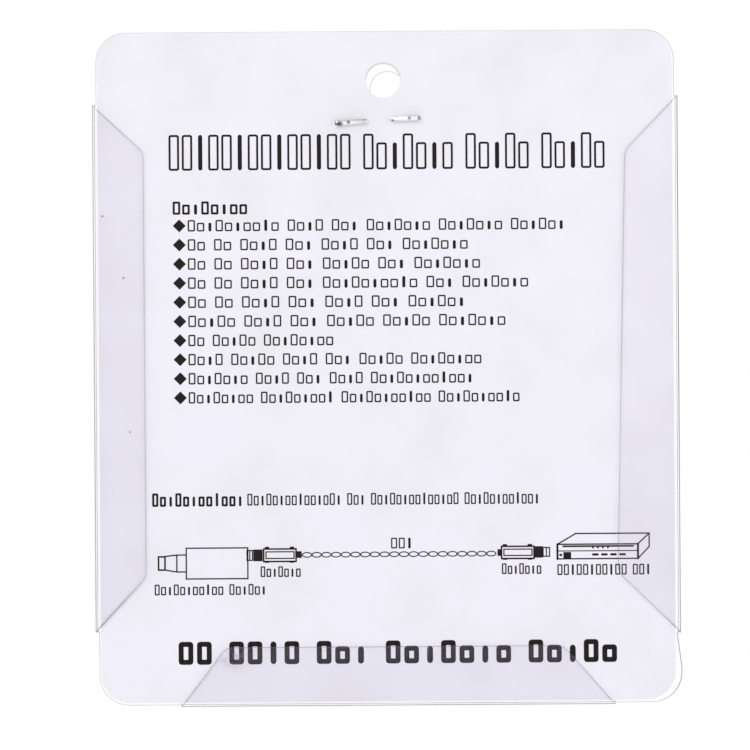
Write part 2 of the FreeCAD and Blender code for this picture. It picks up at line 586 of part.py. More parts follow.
def build_housing(part, label, front):
    """One moulded half of the housing; the base has the lip, the cover the sunk panel."""
    body = part(label)
    sign = "1" if front else "-1"
    half, depth, wall = HALF_WIDTH, HALF_DEPTH, "Sizes.housing_wall"
    shell = new_sketch(body, label + "_shell_sketch", "XY_Plane", HOUSING_LOW)
    rectangle(shell, f"-{half}", half, *sorted_sides(sign, depth))
    pad(body, label + "_shell", shell, "Sizes.housing_length", "+Z")
    outside = value(f"{sign} * {depth}")
    fillet(body, label + "_long_edges", "Sizes.housing_corner",
           lambda edge, box: near(box.YMin, outside) and near(box.YMax, outside)
           and near(box.XLength, 0))
    ribs(body, label, sign)
    hollow = new_sketch(body, label + "_hollow_sketch", "XY_Plane", f"{HOUSING_LOW} + {wall}")
    rectangle(hollow, f"-({half} - {wall})", f"{half} - {wall}",
              *sorted_sides(sign, f"({depth} - {wall})"))
    pocket(body, label + "_hollow", hollow, f"Sizes.housing_length - 2 * {wall}", "+Z")
    neck = new_sketch(body, label + "_neck_sketch", "XY_Plane", HOUSING_HIGH)
    circle(neck, "0", "0", "Sizes.neck_radius + Sizes.fit_gap")
    pocket(body, label + "_neck_hole", neck, wall, "-Z")
    mouth = new_sketch(body, label + "_mouth_sketch", "XY_Plane", HOUSING_LOW)
    opening = "(Sizes.terminal_width / 2 + Sizes.fit_gap)"
    rectangle(mouth, f"-{opening}", opening,
              *sorted_sides(sign, "(Sizes.terminal_depth / 2 + Sizes.fit_gap)"))
    pocket(body, label + "_mouth", mouth, wall, "+Z")
    if front:
        sunk = new_sketch(body, label + "_panel_sketch", "XZ_Plane", f"-{depth}")
        side = f"({half} - Sizes.housing_corner - Sizes.panel_side)"
        rectangle(sunk, f"-{side}", side,
                  f"{HOUSING_LOW} + Sizes.panel_end", f"{HOUSING_HIGH} - Sizes.panel_end")
        pocket(body, label + "_panel", sunk, "Sizes.panel_depth", "-Y")
    lip(body, label, front)


def sorted_sides(sign, reach):
    """Zero and a signed reach, the lower first."""
    return ("0", reach) if sign == "1" else (f"-{reach}", "0")


def ribs(body, label, sign):
    """Short grip ribs on the housing's two narrow sides, next to the seam."""
    half, reach = HALF_WIDTH, f"{HALF_DEPTH} - Sizes.housing_corner"
    middle = f"({HOUSING_LOW} + {HOUSING_HIGH}) / 2"
    foot = f"({middle} - Sizes.grip_pitch * (Sizes.grip_count - 1) / 2 - Sizes.grip_width / 2)"
    for side, left, right in (("left", f"-{half} - Sizes.grip_height", f"-{half}"),
                              ("right", half, f"{half} + Sizes.grip_height")):
        rib = new_sketch(body, f"{label}_{side}_rib_sketch", "XY_Plane", foot)
        rectangle(rib, left, right, *sorted_sides(sign, f"({reach})"))
        first = pad(body, f"{label}_{side}_rib", rib, "Sizes.grip_width", "+Z")
        row = body.newObject("PartDesign::LinearPattern", f"{label}_{side}_ribs")
        row.Originals = [first]
        row.Direction = (plane_of(body, "Z_Axis"), [""])
        row.setExpression("Length", "Sizes.grip_pitch * (Sizes.grip_count - 1)")
        row.setExpression("Occurrences", "Sizes.grip_count")
        body.Tip = row
        doc.recompute()


def lip(body, label, front):
    """A lip along the base's two long walls, and the recess for it in the cover."""
    inner = f"({HALF_WIDTH} - Sizes.housing_wall)"
    gap = "Sizes.fit_gap" if front else "0"
    low = f"({HOUSING_LOW} + Sizes.housing_wall)"
    for side, sign in (("left", "-1"), ("right", "1")):
        edges = [f"{sign} * {inner}", f"{sign} * ({inner} + Sizes.lip_width + {gap})"]
        ordered = edges if sign == "1" else edges[::-1]
        strip = new_sketch(body, f"{label}_{side}_lip_sketch", "XY_Plane", low)
        rectangle(strip, *ordered, "0", f"Sizes.lip_height + {gap}")
        length = "Sizes.housing_length - 2 * Sizes.housing_wall"
        if front:
            pocket(body, f"{label}_{side}_lip", strip, length, "+Z")
        else:
            pad(body, f"{label}_{side}_lip", strip, length, "+Z")


def build_collar(part):
    """The moulded ring on the plug's neck."""
    body = part("collar")
    ring = new_sketch(body, "collar_sketch", "XZ_Plane")
    rectangle(ring, "Sizes.neck_radius", "Sizes.neck_radius + Sizes.collar_wall",
              HOUSING_HIGH, COLLAR_HIGH)
    revolve(body, "collar_ring", ring)


def build_plug(part):
    """The plug's metal body: six-sided inner flange, neck, nut flange and slit outer contact."""
    body = part("plug_shell")
    turned = new_sketch(body, "plug_sketch", "XZ_Plane")
    bore = CONTACT_BORE
    neck = "Sizes.neck_radius"
    contact = "Sizes.contact_radius"
    outline(turned, [
        (bore, SHANK_LOW), (neck, SHANK_LOW), (neck, FLANGE_LOW), (FLANGE_RADIUS, FLANGE_LOW),
        (FLANGE_RADIUS, FLANGE_HIGH), (contact, FLANGE_HIGH), (contact, CONTACT_HIGH),
        (bore, CONTACT_HIGH),
    ])
    revolve(body, "plug_turned", turned)
    flange = new_sketch(body, "flange_sketch", "XY_Plane", SHANK_LOW)
    across_flats = f"({HALF_DEPTH} - Sizes.housing_wall - Sizes.fit_gap)"
    corners = [(f"{across_flats} * {sine} / cos(30deg)", f"{across_flats} * {cosine} / cos(30deg)")
               for sine, cosine in ((f"sin({turn}deg)", f"cos({turn}deg)")
                                    for turn in range(30, 390, 60))]
    outline(flange, corners)
    circle(flange, "0", "0", f"({bore} + {neck}) / 2")
    pad(body, "inner_flange", flange, "Sizes.neck_flange_length", "+Z")
    slit = new_sketch(body, "slit_sketch", "XY_Plane", CONTACT_HIGH)
    rectangle(slit, "0", "Sizes.contact_radius + Sizes.contact_wall",
              "-Sizes.contact_slit / 2", "Sizes.contact_slit / 2")
    cut = pocket(body, "slit", slit, "Sizes.contact_slit_length", "-Z")
    around(body, "slits", cut, "Sizes.contact_slits")


def build_nut(part):
    """The bayonet nut: a knurled band, a thinner sleeve, and two slots for the socket's lugs."""
    body = part("coupling_nut")
    turned = new_sketch(body, "nut_sketch", "XZ_Plane")
    lip_bore = "(Sizes.neck_radius + Sizes.nut_clearance)"
    band_high = f"({NUT_LOW} + Sizes.nut_band_length)"
    outline(turned, [
        (lip_bore, NUT_LOW), (NUT_RADIUS, NUT_LOW), (NUT_RADIUS, band_high),
        (SLEEVE_RADIUS, band_high), (SLEEVE_RADIUS, NUT_HIGH), (NUT_BORE, NUT_HIGH),
        (NUT_BORE, LIP_HIGH), (lip_bore, LIP_HIGH),
    ])
    revolve(body, "nut_turned", turned)
    groove = new_sketch(body, "knurl_sketch", "XY_Plane", NUT_LOW)
    outside = f"({NUT_RADIUS} + Sizes.knurl_depth)"
    outline(groove, [(f"{NUT_RADIUS} - Sizes.knurl_depth", "0"),
                     (outside, "-2 * Sizes.knurl_depth"), (outside, "2 * Sizes.knurl_depth")])
    cut = pocket(body, "knurl_groove", groove, "Sizes.nut_band_length", "+Z")
    around(body, "knurl", cut, "Sizes.knurl_count")
    way = new_sketch(body, "way_sketch", "XY_Plane", NUT_HIGH)
    half = "Sizes.bayonet_slot_width / 2"
    deep = f"({NUT_BORE} + Sizes.bayonet_groove_depth)"
    rectangle(way, f"-{deep}", deep, f"-{half}", half)
    pocket(body, "bayonet_ways", way, "Sizes.bayonet_slot_reach - Sizes.bayonet_slot_width / 2", "-Z")
    slot = new_sketch(body, "slot_sketch", "XZ_Plane")
    centre = f"({NUT_HIGH} - Sizes.bayonet_slot_reach)"
    turn = "Sizes.bayonet_slot_width"
    outline(slot, [(f"-{half}", f"{centre} - {half}"), (half, f"{centre} - {half}"),
                   (f"{half} + {turn}", f"{centre} + {turn} - {half}"),
                   (f"{half} + {turn}", f"{centre} + {turn} + {half}"),
                   (f"-{half} + {turn}", f"{centre} + {turn} + {half}"),
                   (f"-{half}", f"{centre} + {half}")])
    pocket(body, "bayonet_slots", slot, f"4 * {NUT_RADIUS}", None)


def build_centre(part):
    """The insulator, and the centre pin that it holds; the pin's tail lies on the board."""
    body = part("insulator")
    turned = new_sketch(body, "insulator_sketch", "XZ_Plane")
    bore = "Sizes.pin_radius"
    rectangle(turned, bore, CONTACT_BORE, INSULATOR_LOW, FLANGE_HIGH)
    revolve(body, "insulator_turned", turned)
    body = part("centre_pin")
    pin = new_sketch(body, "pin_sketch", "XZ_Plane")
    low = f"({BOARD_HIGH} - Sizes.pin_tail)"
    high = f"({NUT_HIGH} - Sizes.pin_sunk)"
    outline(pin, [("0", low), (bore, low), (bore, f"{high} - Sizes.pin_tip"),
                  ("Sizes.pin_radius / 3", high), ("0", high)])
    revolve(body, "pin_turned", pin)


def build_board(part):
    """The circuit board between the terminal and the plug."""
    body = part("circuit_board")
    board = new_sketch(body, "board_sketch", "XZ_Plane", f"-({BOARD_FACE})")
    side = f"({HALF_WIDTH} - Sizes.housing_wall - Sizes.board_room)"
    rectangle(board, f"-{side}", side, BOARD_LOW, BOARD_HIGH)
    pad(body, "board", board, "Sizes.board_thickness", "-Y")


def build_transformer(part):
    """The transformer on the board: a ferrite core with two windows, and its coil in them."""
    body = part("ferrite_core")
    layer = "Sizes.coil_thickness"
    base = f"({BOARD_FACE} + {layer})"
    half, leg = "Sizes.core_size / 2", "Sizes.core_leg / 2"
    core = new_sketch(body, "core_sketch", "XZ_Plane", f"-{base}")
    rectangle(core, f"-{half}", half, f"{CORE_UP} - {half}", f"{CORE_UP} + {half}")
    for sign in ("-1", "1"):
        sides = [f"{sign} * {leg}", f"{sign} * ({half} - {leg})"]
        rectangle(core, *(sides if sign == "1" else sides[::-1]),
                  f"{CORE_UP} - {half} + {leg}", f"{CORE_UP} + {half} - {leg}")
    pad(body, "core", core, "Sizes.core_height", "+Y")
    body = part("coil")
    span = f"({half} - {leg})"
    wound = new_sketch(body, "coil_sketch", "XY_Plane", f"{CORE_UP} - {span}")
    rectangle(wound, f"-({leg} + {layer})", f"({leg} + {layer})", BOARD_FACE,
              f"{base} + Sizes.core_height + {layer}")
    rectangle(wound, f"-{leg}", leg, base, f"{base} + Sizes.core_height")
    pad(body, "coil", wound, f"2 * {span}", "+Z")


def build_terminal(part):
    """The two-way screw terminal: block, wire clamps with their tabs, and clamping screws."""
    body = part("terminal_block")
    front = "Sizes.terminal_depth / 2"
    block = new_sketch(body, "block_sketch", "XY_Plane")
    rectangle(block, "-Sizes.terminal_width / 2", "Sizes.terminal_width / 2", f"-{front}", front)
    pad(body, "block", block, "Sizes.terminal_length", "+Z")
    half_wide, half_deep = value("Sizes.terminal_width / 2"), value(front)
    chamfer(body, "block_edges", "Sizes.terminal_edge",
            lambda edge, box: near(box.XLength, 0) and near(box.YLength, 0)
            and near(abs(box.XMin), half_wide) and near(abs(box.YMin), half_deep))
    half = "Sizes.way_size / 2"
    ways = new_sketch(body, "ways_sketch", "XY_Plane")
    holes = new_sketch(body, "screw_holes_sketch", "XZ_Plane", f"-{front}")
    for sign in ("-1", "1"):
        middle = f"({sign} * Sizes.way_pitch / 2)"
        rectangle(ways, f"{middle} - {half}", f"{middle} + {half}", f"-{half}", half)
        circle(holes, middle, "Sizes.screw_place", "Sizes.screw_radius + Sizes.fit_gap")
    pocket(body, "wire_ways", ways, "Sizes.terminal_length", "+Z")
    pocket(body, "screw_holes", holes, f"{front} - {half}", "-Y")

    body = part("wire_clamps")
    wall = "Sizes.clamp_wall"
    tube_low = f"(Sizes.screw_place - {half})"
    frame = new_sketch(body, "clamp_sketch", "XY_Plane", tube_low)
    room = new_sketch(body, "clamp_room_sketch", "XY_Plane", tube_low)
    tabs = new_sketch(body, "clamp_tab_sketch", "XZ_Plane", f"-({BOARD_FACE} + {wall})")
    for sign in ("-1", "1"):
        middle = f"({sign} * Sizes.way_pitch / 2)"
        rectangle(frame, f"{middle} - {half}", f"{middle} + {half}", f"-{half}", half)
        rectangle(room, f"{middle} - {half} + {wall}", f"{middle} + {half} - {wall}",
                  f"-{half} + {wall}", f"{half} - {wall}")
        rectangle(tabs, f"{middle} - Sizes.tab_width / 2", f"{middle} + Sizes.tab_width / 2",
                  f"{tube_low} + Sizes.way_size - {wall}", f"{BOARD_LOW} + Sizes.way_size")
    body.AllowCompound = True
    pad(body, "clamp_frames", frame, "Sizes.way_size", "+Z")
    pocket(body, "clamp_rooms", room, "Sizes.way_size", "+Z")
    legs = new_sketch(body, "clamp_leg_sketch", "XY_Plane", f"{tube_low} + Sizes.way_size - {wall}")
    for sign in ("-1", "1"):
        middle = f"({sign} * Sizes.way_pitch / 2)"
        rectangle(legs, f"{middle} - Sizes.tab_width / 2", f"{middle} + Sizes.tab_width / 2",
                  f"-{half}", f"{BOARD_FACE} + {wall}")
    pad(body, "clamp_legs", legs, wall, "+Z")
    pad(body, "clamp_tabs", tabs, wall, "+Y")

    body = part("terminal_screws")
    body.AllowCompound = True
    head_face = f"({front} - Sizes.screw_sunk)"
    screws = new_sketch(body, "screw_sketch", "XZ_Plane", f"-{head_face}")
    slots = new_sketch(body, "driver_slot_sketch", "XZ_Plane", f"-{head_face}")
    for sign in ("-1", "1"):
        middle = f"({sign} * Sizes.way_pitch / 2)"
        circle(screws, middle, "Sizes.screw_place", "Sizes.screw_radius")
        rectangle(slots, f"{middle} - Sizes.screw_radius", f"{middle} + Sizes.screw_radius",
                  "Sizes.screw_place - Sizes.slot_width / 2", "Sizes.screw_place + Sizes.slot_width / 2")
    pad(body, "screws", screws, f"{head_face} - {half}", "-Y")
    pocket(body, "driver_slots", slots, "Sizes.slot_depth", "-Y")


def build_balun(suffix, across):
    """One balun, standing on the bubble's lower wall with its back against the card."""

    def part(label):
        return new_body(f"{label}_{suffix}", across, f"Sizes.card_thickness + {HALF_DEPTH}", BALUN_FOOT)

    build_housing(part, "housing_base", front=False)
    build_housing(part, "housing_cover", front=True)
    build_collar(part)
    build_plug(part)
    build_nut(part)
    build_centre(part)
    build_board(part)
    build_transformer(part)
    build_terminal(part)


build_card()
build_sheet()
build_staple()
build_balun("a", "-Sizes.balun_pitch / 2")
build_balun("b", "Sizes.balun_pitch / 2")

doc.recompute()
for item in doc.Objects:
    if "Invalid" in item.State or "Error" in item.State:
        raise RuntimeError(f"{item.Label} did not compute: {item.State}")
for piece in pieces:
    if piece.Shape.isNull() or not piece.Shape.isValid() or not piece.Shape.Solids:
        raise RuntimeError(f"{piece.Label} has no valid solid")

os.makedirs("parts", exist_ok=True)
for piece in pieces:
    piece.Shape.exportStep(f"parts/{piece.Label}.step")
    print(f"{piece.Label}: {len(piece.Shape.Solids)} solid(s), {piece.Shape.Volume:.2f} mm3")
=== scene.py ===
"""A stapled blister card pack, seen from its printed back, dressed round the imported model."""
import bpy
import math
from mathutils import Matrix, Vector


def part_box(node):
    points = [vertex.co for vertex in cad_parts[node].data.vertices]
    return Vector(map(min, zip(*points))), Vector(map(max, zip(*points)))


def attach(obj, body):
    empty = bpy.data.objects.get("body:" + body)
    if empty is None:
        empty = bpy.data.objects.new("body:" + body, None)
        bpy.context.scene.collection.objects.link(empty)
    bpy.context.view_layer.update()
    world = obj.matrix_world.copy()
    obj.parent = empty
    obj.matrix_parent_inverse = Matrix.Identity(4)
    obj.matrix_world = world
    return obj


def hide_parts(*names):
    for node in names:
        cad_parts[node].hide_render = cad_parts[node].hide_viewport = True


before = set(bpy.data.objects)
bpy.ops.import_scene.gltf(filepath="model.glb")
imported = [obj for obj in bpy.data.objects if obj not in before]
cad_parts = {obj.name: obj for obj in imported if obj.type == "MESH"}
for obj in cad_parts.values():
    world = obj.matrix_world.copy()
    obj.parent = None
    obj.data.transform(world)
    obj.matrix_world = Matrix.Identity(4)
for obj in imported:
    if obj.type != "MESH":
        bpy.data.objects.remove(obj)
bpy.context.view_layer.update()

# The backing card. One piece of white board, coated on both sides and die cut with round corners
# and a hang hole. Its cut edge shows the uncoated grey-white core.

MM = 0.001
CARD_TINT = (0.868, 0.854, 0.925, 1)
CARD_TINT_LOW = (0.845, 0.832, 0.912, 1)
CARD_CORE = (0.62, 0.60, 0.58, 1)
# Painted shade for the upper rim of the hang hole.
CARD_HOLE_SHADE = (0.40, 0.38, 0.40, 1)
SMUDGE = (0.72, 0.66, 0.60, 1)


class Shade:
    """One output of a material's nodes. Sums and products of outputs add their own Math nodes."""

    def __init__(self, tree, socket=None):
        self.tree = tree
        self.socket = socket

    def node(self, kind, settings, inputs, output=0):
        """Adds a node, sets it up, feeds its inputs with values or links, and gives one output."""
        made = self.tree.nodes.new("ShaderNode" + kind)
        for name, setting in settings.items():
            if name == "stops":
                while len(made.color_ramp.elements) < len(setting):
                    made.color_ramp.elements.new(1.0)
                for element, (place, level) in zip(made.color_ramp.elements, setting):
                    element.position = place
                    element.color = (level, level, level, 1)
            else:
                setattr(made, name, setting)
        for name, given in inputs.items():
            if isinstance(given, Shade):
                self.tree.links.new(given.socket, made.inputs[name])
            else:
                made.inputs[name].default_value = given
        return Shade(self.tree, made.outputs[output])

    def maths(self, operation, first, second=0.0):
        return self.node("Math", {"operation": operation}, {0: first, 1: second})

    def __add__(self, other):
        return self.maths("ADD", self, other)

    def __sub__(self, other):
        return self.maths("SUBTRACT", self, other)

    def __mul__(self, other):
        return self.maths("MULTIPLY", self, other)

    def __truediv__(self, other):
        return self.maths("DIVIDE", self, other)

    def __radd__(self, other):
        return self.maths("ADD", other, self)

    def __rsub__(self, other):
        return self.maths("SUBTRACT", other, self)

    def __rmul__(self, other):
        return self.maths("MULTIPLY", other, self)

    def __abs__(self):
        return self.maths("ABSOLUTE", self)

    def ramp(self, low, high):
        """0 below one level and 1 above the other, with a soft step between them."""
        return self.node("MapRange", {"interpolation_type": "SMOOTHSTEP"},
                         {0: self, 1: low, 2: high, 3: 0.0, 4: 1.0})

    def mixed(self, amount, first, second):
        """A colour between two colours."""
        return self.node("Mix", {"data_type": "RGBA"}, {0: amount, 6: first, 7: second}, output=2)


def new_material(name):
    """An empty material, and the start of its node tree."""
    material = bpy.data.materials.new(name)
    material.use_nodes = True
    material.node_tree.nodes.clear()
    return material, Shade(material.node_tree)


def place(start):
    """Where a point lies on the object, in metres."""
    return start.node("TexCoord", {}, {}, output=3)


def along(start, axis):
    """One coordinate of that place, in millimetres."""
    number = "XYZ".index(axis)
    return start.node("SeparateXYZ", {}, {0: place(start)}, output=number) / MM


def stretched(start, scale):
    """The place with each axis scaled by its own amount, for a pattern that runs one way."""
    return start.node("Mapping", {}, {"Vector": place(start), "Scale": scale})


def noise(start, per_metre, detail=2.0, at=None):
    """Soft noise from 0 to 1 with so many bumps in a metre."""
    return start.node("TexNoise", {}, {"Vector": at or place(start), "Scale": per_metre, "Detail": detail})


def bumped(start, height, distance):
    """A normal from a height, over so many metres."""
    return start.node("Bump", {}, {"Strength": 1.0, "Distance": distance, "Height": height})


def surface(start, inputs):
    """A Principled shader."""
    return start.node("BsdfPrincipled", {}, inputs)


def finish_material(start, shader):
    """Joins a shader to the material's output."""
    made = start.tree.nodes.new("ShaderNodeOutputMaterial")
    start.tree.links.new(shader.socket, made.inputs["Surface"])


def paint(names, material):
    """Gives CAD nodes a material."""
    for name in names:
        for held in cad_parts[name].material_slots:
            held.material = material


def spot(start, x, z, radius, softness):
    """1 inside a round spot on the back, given in millimetres, and 0 outside it."""
    across = along(start, "X") - x
    up = along(start, "Z") - z
    distance = start.maths("SQRT", across * across + up * up)
    return 1 - distance.ramp(radius - softness, radius + softness)


def coated_board():
    """White coating with a lavender tint, a little darker towards the foot, a plain core, and painted shade along
    the upper rim of the hang hole.
    """
    material, start = new_material("coated_board")
    height = along(start, "Z")
    lower = 1 - height.ramp(-95.0, 10.0)
    tint = start.mixed(lower, CARD_TINT, CARD_TINT_LOW)
    mottle = noise(start, 90.0, 3.0)
    tint = start.mixed(mottle.ramp(0.35, 0.75) * 0.18, tint, CARD_CORE)
    smudged = spot(start, -30.4, -48.6, 1.6, 1.4) * noise(start, 700.0).ramp(0.4, 0.7) * 0.25
    tint = start.mixed(smudged, tint, SMUDGE)
    # Painted shade: a darker arc along the upper rim of the hang hole, as if its edge lay in shadow.
    hole_rim_shade = (spot(start, 0.0, 0.0, 2.72, 0.12) - spot(start, 0.0, 0.0, 2.5, 0.05)) * height.ramp(-0.6, 1.6)
    tint = start.mixed(hole_rim_shade * 0.45, tint, CARD_HOLE_SHADE)
    normal = start.node("SeparateXYZ", {}, {0: start.node("NewGeometry", {}, {}, output=1)}, output=1)
    cut = 1 - abs(normal).ramp(0.4, 0.8)
    colour = start.mixed(cut, tint, CARD_CORE)
    height_map = noise(start, 2600.0, 3.0) * 0.5 + noise(start, 220.0) * 2.0
    finish_material(start, surface(start, {
        "Base Color": colour, "Roughness": noise(start, 500.0) * 0.12 + 0.42 + cut * 0.4,
        "Normal": bumped(start, height_map, 0.004 * MM), "Specular IOR Level": 0.35,
    }))
    return material


paint(["backing_card"], coated_board())

# The print. One dark ink on the card's back. All words are rows of plain upright blocks, one for
# each letter's place, and the drawing is a plain camera, two plugs, a twisted pair and a recorder.

INK = (0.014, 0.0075, 0.0078, 1)
INK_DEPTH = 0.01 * MM
card_low, card_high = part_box("backing_card")
ink_face = card_low.y - INK_DEPTH


def select_none():
    """Nothing selected, in object mode."""
    if bpy.context.object and bpy.context.object.mode != "OBJECT":
        bpy.ops.object.mode_set(mode="OBJECT")
    bpy.ops.object.select_all(action="DESELECT")


def block(left, right, low, high, turn=0.0):
    """A flat block on the card's back between four places in millimetres, turned about its middle."""
    middle = Vector(((left + right) / 2 * MM, ink_face, (low + high) / 2 * MM))
    bpy.ops.mesh.primitive_plane_add(size=MM, location=middle, rotation=(math.pi / 2, 0, 0))
    bpy.ops.transform.resize(value=(right - left, 1, high - low), center_override=middle)
    if turn:
        bpy.ops.transform.rotate(value=turn, orient_axis="Y", center_override=middle)


def stroke(first, last, weight=0.2):
    """A drawn line between two places in millimetres, given across and up."""
    start, end = Vector(first), Vector(last)
    run = end - start
    middle = (start + end) / 2
    half, thin = (run.length + weight) / 2, weight / 2
    block(middle.x - half, middle.x + half, middle.y - thin, middle.y + thin,
          turn=math.atan2(run.y, run.x))


def line_round(corners, weight=0.2):
    """A drawn line from corner to corner and back to the first."""
    for first, last in zip(corners, corners[1:] + corners[:1]):
        stroke(first, last, weight)


def words(left, right, foot, tall, short, counts, all_tall=()):
    """A row of words as plain shapes, one in each letter's place: two boxes, a bar, and so on."""
    pitch = (right - left) / (sum(counts) + 0.75 * (len(counts) - 1))
    at = left
    for word, count in enumerate(counts):
        for number in range(count):
            rises = word in all_tall or number == 0 or number % 5 == 3
            wide = pitch * (0.32 if number % 3 == 2 else 0.8)
            middle = at + pitch * 0.5
            block(middle - wide / 2, middle + wide / 2, foot, foot + (tall if rises else short))
            at += pitch
        at += 0.75 * pitch


def begin_print(name):
    """An empty flat piece on the card's back, open for editing."""
    select_none()
    bpy.ops.mesh.primitive_plane_add(size=MM)
    piece = bpy.context.object
    piece.name = name
    bpy.ops.object.mode_set(mode="EDIT")
    bpy.ops.mesh.delete(type="VERT")
    return piece


def end_print(piece, rounding, line=0.0, smallest=0.0):
    """Rounds the shapes' corners, leaves only an outline of those that are larger than a smallest
    area, gives the ink its thickness and lays it on the card."""
    bpy.ops.mesh.select_mode(type="FACE")
    bpy.ops.mesh.select_all(action="SELECT")
    if rounding:
        bpy.ops.mesh.bevel(offset=rounding * MM, segments=2, affect="VERTICES", clamp_overlap=True)
    if line:
        bpy.ops.object.mode_set(mode="OBJECT")
        for face in piece.data.polygons:
            face.select = face.area > smallest * MM * MM
        bpy.ops.object.mode_set(mode="EDIT")
        bpy.ops.mesh.inset(thickness=line * MM, use_individual=True)
        bpy.ops.mesh.delete(type="FACE")
    bpy.ops.mesh.select_all(action="SELECT")
    bpy.ops.mesh.extrude_region_move(TRANSFORM_OT_translate={"value": (0, 1.4 * INK_DEPTH, 0)})
    bpy.ops.mesh.select_all(action="SELECT")
    bpy.ops.mesh.normals_make_consistent(inside=False)
    bpy.ops.object.mode_set(mode="OBJECT")
    piece.data.materials.append(ink)
    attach(piece, "root")


def printing_ink():
    """Brown-black ink, a little uneven where the coating took less of it."""
    material, start = new_material("printing_ink")
    thin = noise(start, 900.0, 3.0).ramp(0.5, 0.9)
    colour = start.mixed(thin * 0.3, INK, (0.06, 0.048, 0.047, 1))
    finish_material(start, surface(start, {
        "Base Color": colour, "Roughness": noise(start, 1500.0) * 0.15 + 0.45, "Specular IOR Level": 0.15,
        "Normal": bumped(start, noise(start, 3000.0), 0.002 * MM),
    }))
    return material


ink = printing_ink()

title = begin_print("printed_title")
words(-32.0, 32.9, -13.1, 5.3, 4.0, [14, 7, 5, 5], all_tall=(0,))
end_print(title, 0.5, line=0.31, smallest=4.0)

heading = begin_print("printed_headings")
words(-31.4, -20.1, -19.6, 1.95, 1.5, [8])
words(-34.7, -21.0, -62.8, 2.0, 1.5, [12])
end_print(heading, 0.3, line=0.32, smallest=0.8)

LIST_LEFT, LIST_PITCH, LIST_TOP = -29.2, 2.828, -21.25
LIST_ROWS = [
    (26.9, [10, 4, 3, 7, 7, 6]), (12.5, [2, 2, 4, 3, 4, 3, 7]), (14.3, [2, 2, 4, 3, 5, 3, 7]),
    (21.4, [2, 2, 4, 3, 10, 3, 7]), (12.1, [2, 2, 4, 3, 4, 3, 6]), (18.0, [5, 4, 3, 5, 5, 7]),
    (-7.5, [2, 5, 8]), (14.4, [4, 5, 4, 3, 5, 8]), (13.2, [7, 4, 3, 4, 12]), (20.0, [8, 9, 11, 10]),
]
listing = begin_print("printed_list")
for row, (right, counts) in enumerate(LIST_ROWS):
    words(LIST_LEFT, right, LIST_TOP - row * LIST_PITCH - 0.85, 1.7, 1.3, counts)
end_print(listing, 0.3, line=0.22, smallest=0.85)

diamonds = begin_print("printed_diamonds")
for row in range(len(LIST_ROWS)):
    middle = LIST_TOP - row * LIST_PITCH
    block(-30.3 - 0.68, -30.3 + 0.68, middle - 0.68, middle + 0.68, turn=math.pi / 4)
end_print(diamonds, 0.05)

small_words = begin_print("printed_small_words")
words(-20.6, 22.8, -62.7, 1.75, 1.45, [15, 3, 14, 12])
words(-18.7, -12.6, -73.3, 1.6, 1.25, [7])
words(0.6, 4.0, -69.2, 1.6, 1.6, [3])
words(17.0, 23.0, -73.1, 1.6, 1.25, [7])
words(-34.4, -17.7, -75.9, 1.6, 1.25, [11, 6])
words(25.2, 39.2, -73.3, 1.6, 1.6, [11, 3], all_tall=(0, 1))
end_print(small_words, 0.25, line=0.2, smallest=0.7)

foot_words = begin_print("printed_foot_words")
words(-31.1, 34.3, -86.2, 3.4, 2.6, [2, 4, 3, 7, 5], all_tall=(0, 1))
end_print(foot_words, 0.6, line=0.75, smallest=3.2)

drawing = begin_print("printed_drawing")
line_round([(-29.6, -68.95), (-20.5, -68.95), (-20.5, -73.5), (-29.6, -73.5)])
line_round([(-33.7, -70.2), (-32.75, -70.2), (-32.75, -72.15), (-33.7, -72.15)], 0.25)
line_round([(-32.75, -70.15), (-31.0, -69.95), (-31.0, -72.45), (-32.75, -72.15)])
line_round([(-31.0, -69.95), (-29.6, -69.95), (-29.6, -72.45), (-31.0, -72.45)])
PLUGS = [(-20.6, -19.8, -69.35, -70.8), (23.2, 24.15, -69.2, -70.5)]
HOUSINGS = [(-18.15, -13.35, -69.15, -71.0), (17.05, 21.85, -69.0, -70.8)]
for left, right, top, foot in PLUGS:
    line_round([(left, top), (right, top), (right, foot), (left, foot)], 0.18)
    stroke(((left + right) / 2, top), ((left + right) / 2, foot), 0.18)
for left, right, top, foot in HOUSINGS:
    line_round([(left, top), (right, top), (right, foot), (left, foot)], 0.24)
    line_round([(left + 0.35, top - 0.42), (right - 0.3, top - 0.42), (right - 0.3, foot + 0.45),
                (left + 0.35, foot + 0.45)], 0.18)
RECORDER = {"front": [(25.32, -68.75), (37.24, -68.75), (37.24, -70.9), (25.32, -70.9)],
            "lid": [(25.32, -68.75), (28.03, -67.17), (38.9, -67.17), (37.24, -68.75)],
            "side": [(37.24, -68.75), (38.9, -67.17), (38.9, -69.15), (37.24, -70.9)]}
for corners in RECORDER.values():
    line_round(corners)
for across in (25.32, 37.24):
    stroke((across, -68.75), (across, -70.9), 0.3)
stroke((25.32, -69.74), (37.24, -69.74), 0.15)
stroke((26.2, -69.05), (36.5, -69.05), 0.26)
end_print(drawing, 0)

solid_marks = begin_print("printed_solid_marks")
block(-19.68, -18.3, -70.95, -69.2)
block(21.97, 23.18, -70.7, -69.0)
block(-13.25, -12.5, -70.5, -69.5)
block(16.45, 17.0, -70.4, -69.4)
for left, right, top, foot in HOUSINGS:
    for across in (left + 0.5, right - 0.6):
        block(across - 0.33, across + 0.33, top, top + 0.34)
        block(across - 0.33, across + 0.33, foot - 0.2, foot + 0.1)
block(26.2, 27.35, -70.82, -69.9)
block(25.6, 26.0, -70.5, -70.15)
for step in range(4):
    block(30.45 + step * 1.34, 31.4 + step * 1.34, -70.45, -70.12)
    block(30.45 + step * 0.74, 30.7 + step * 0.74, -69.4, -69.15)
end_print(solid_marks, 0.06)

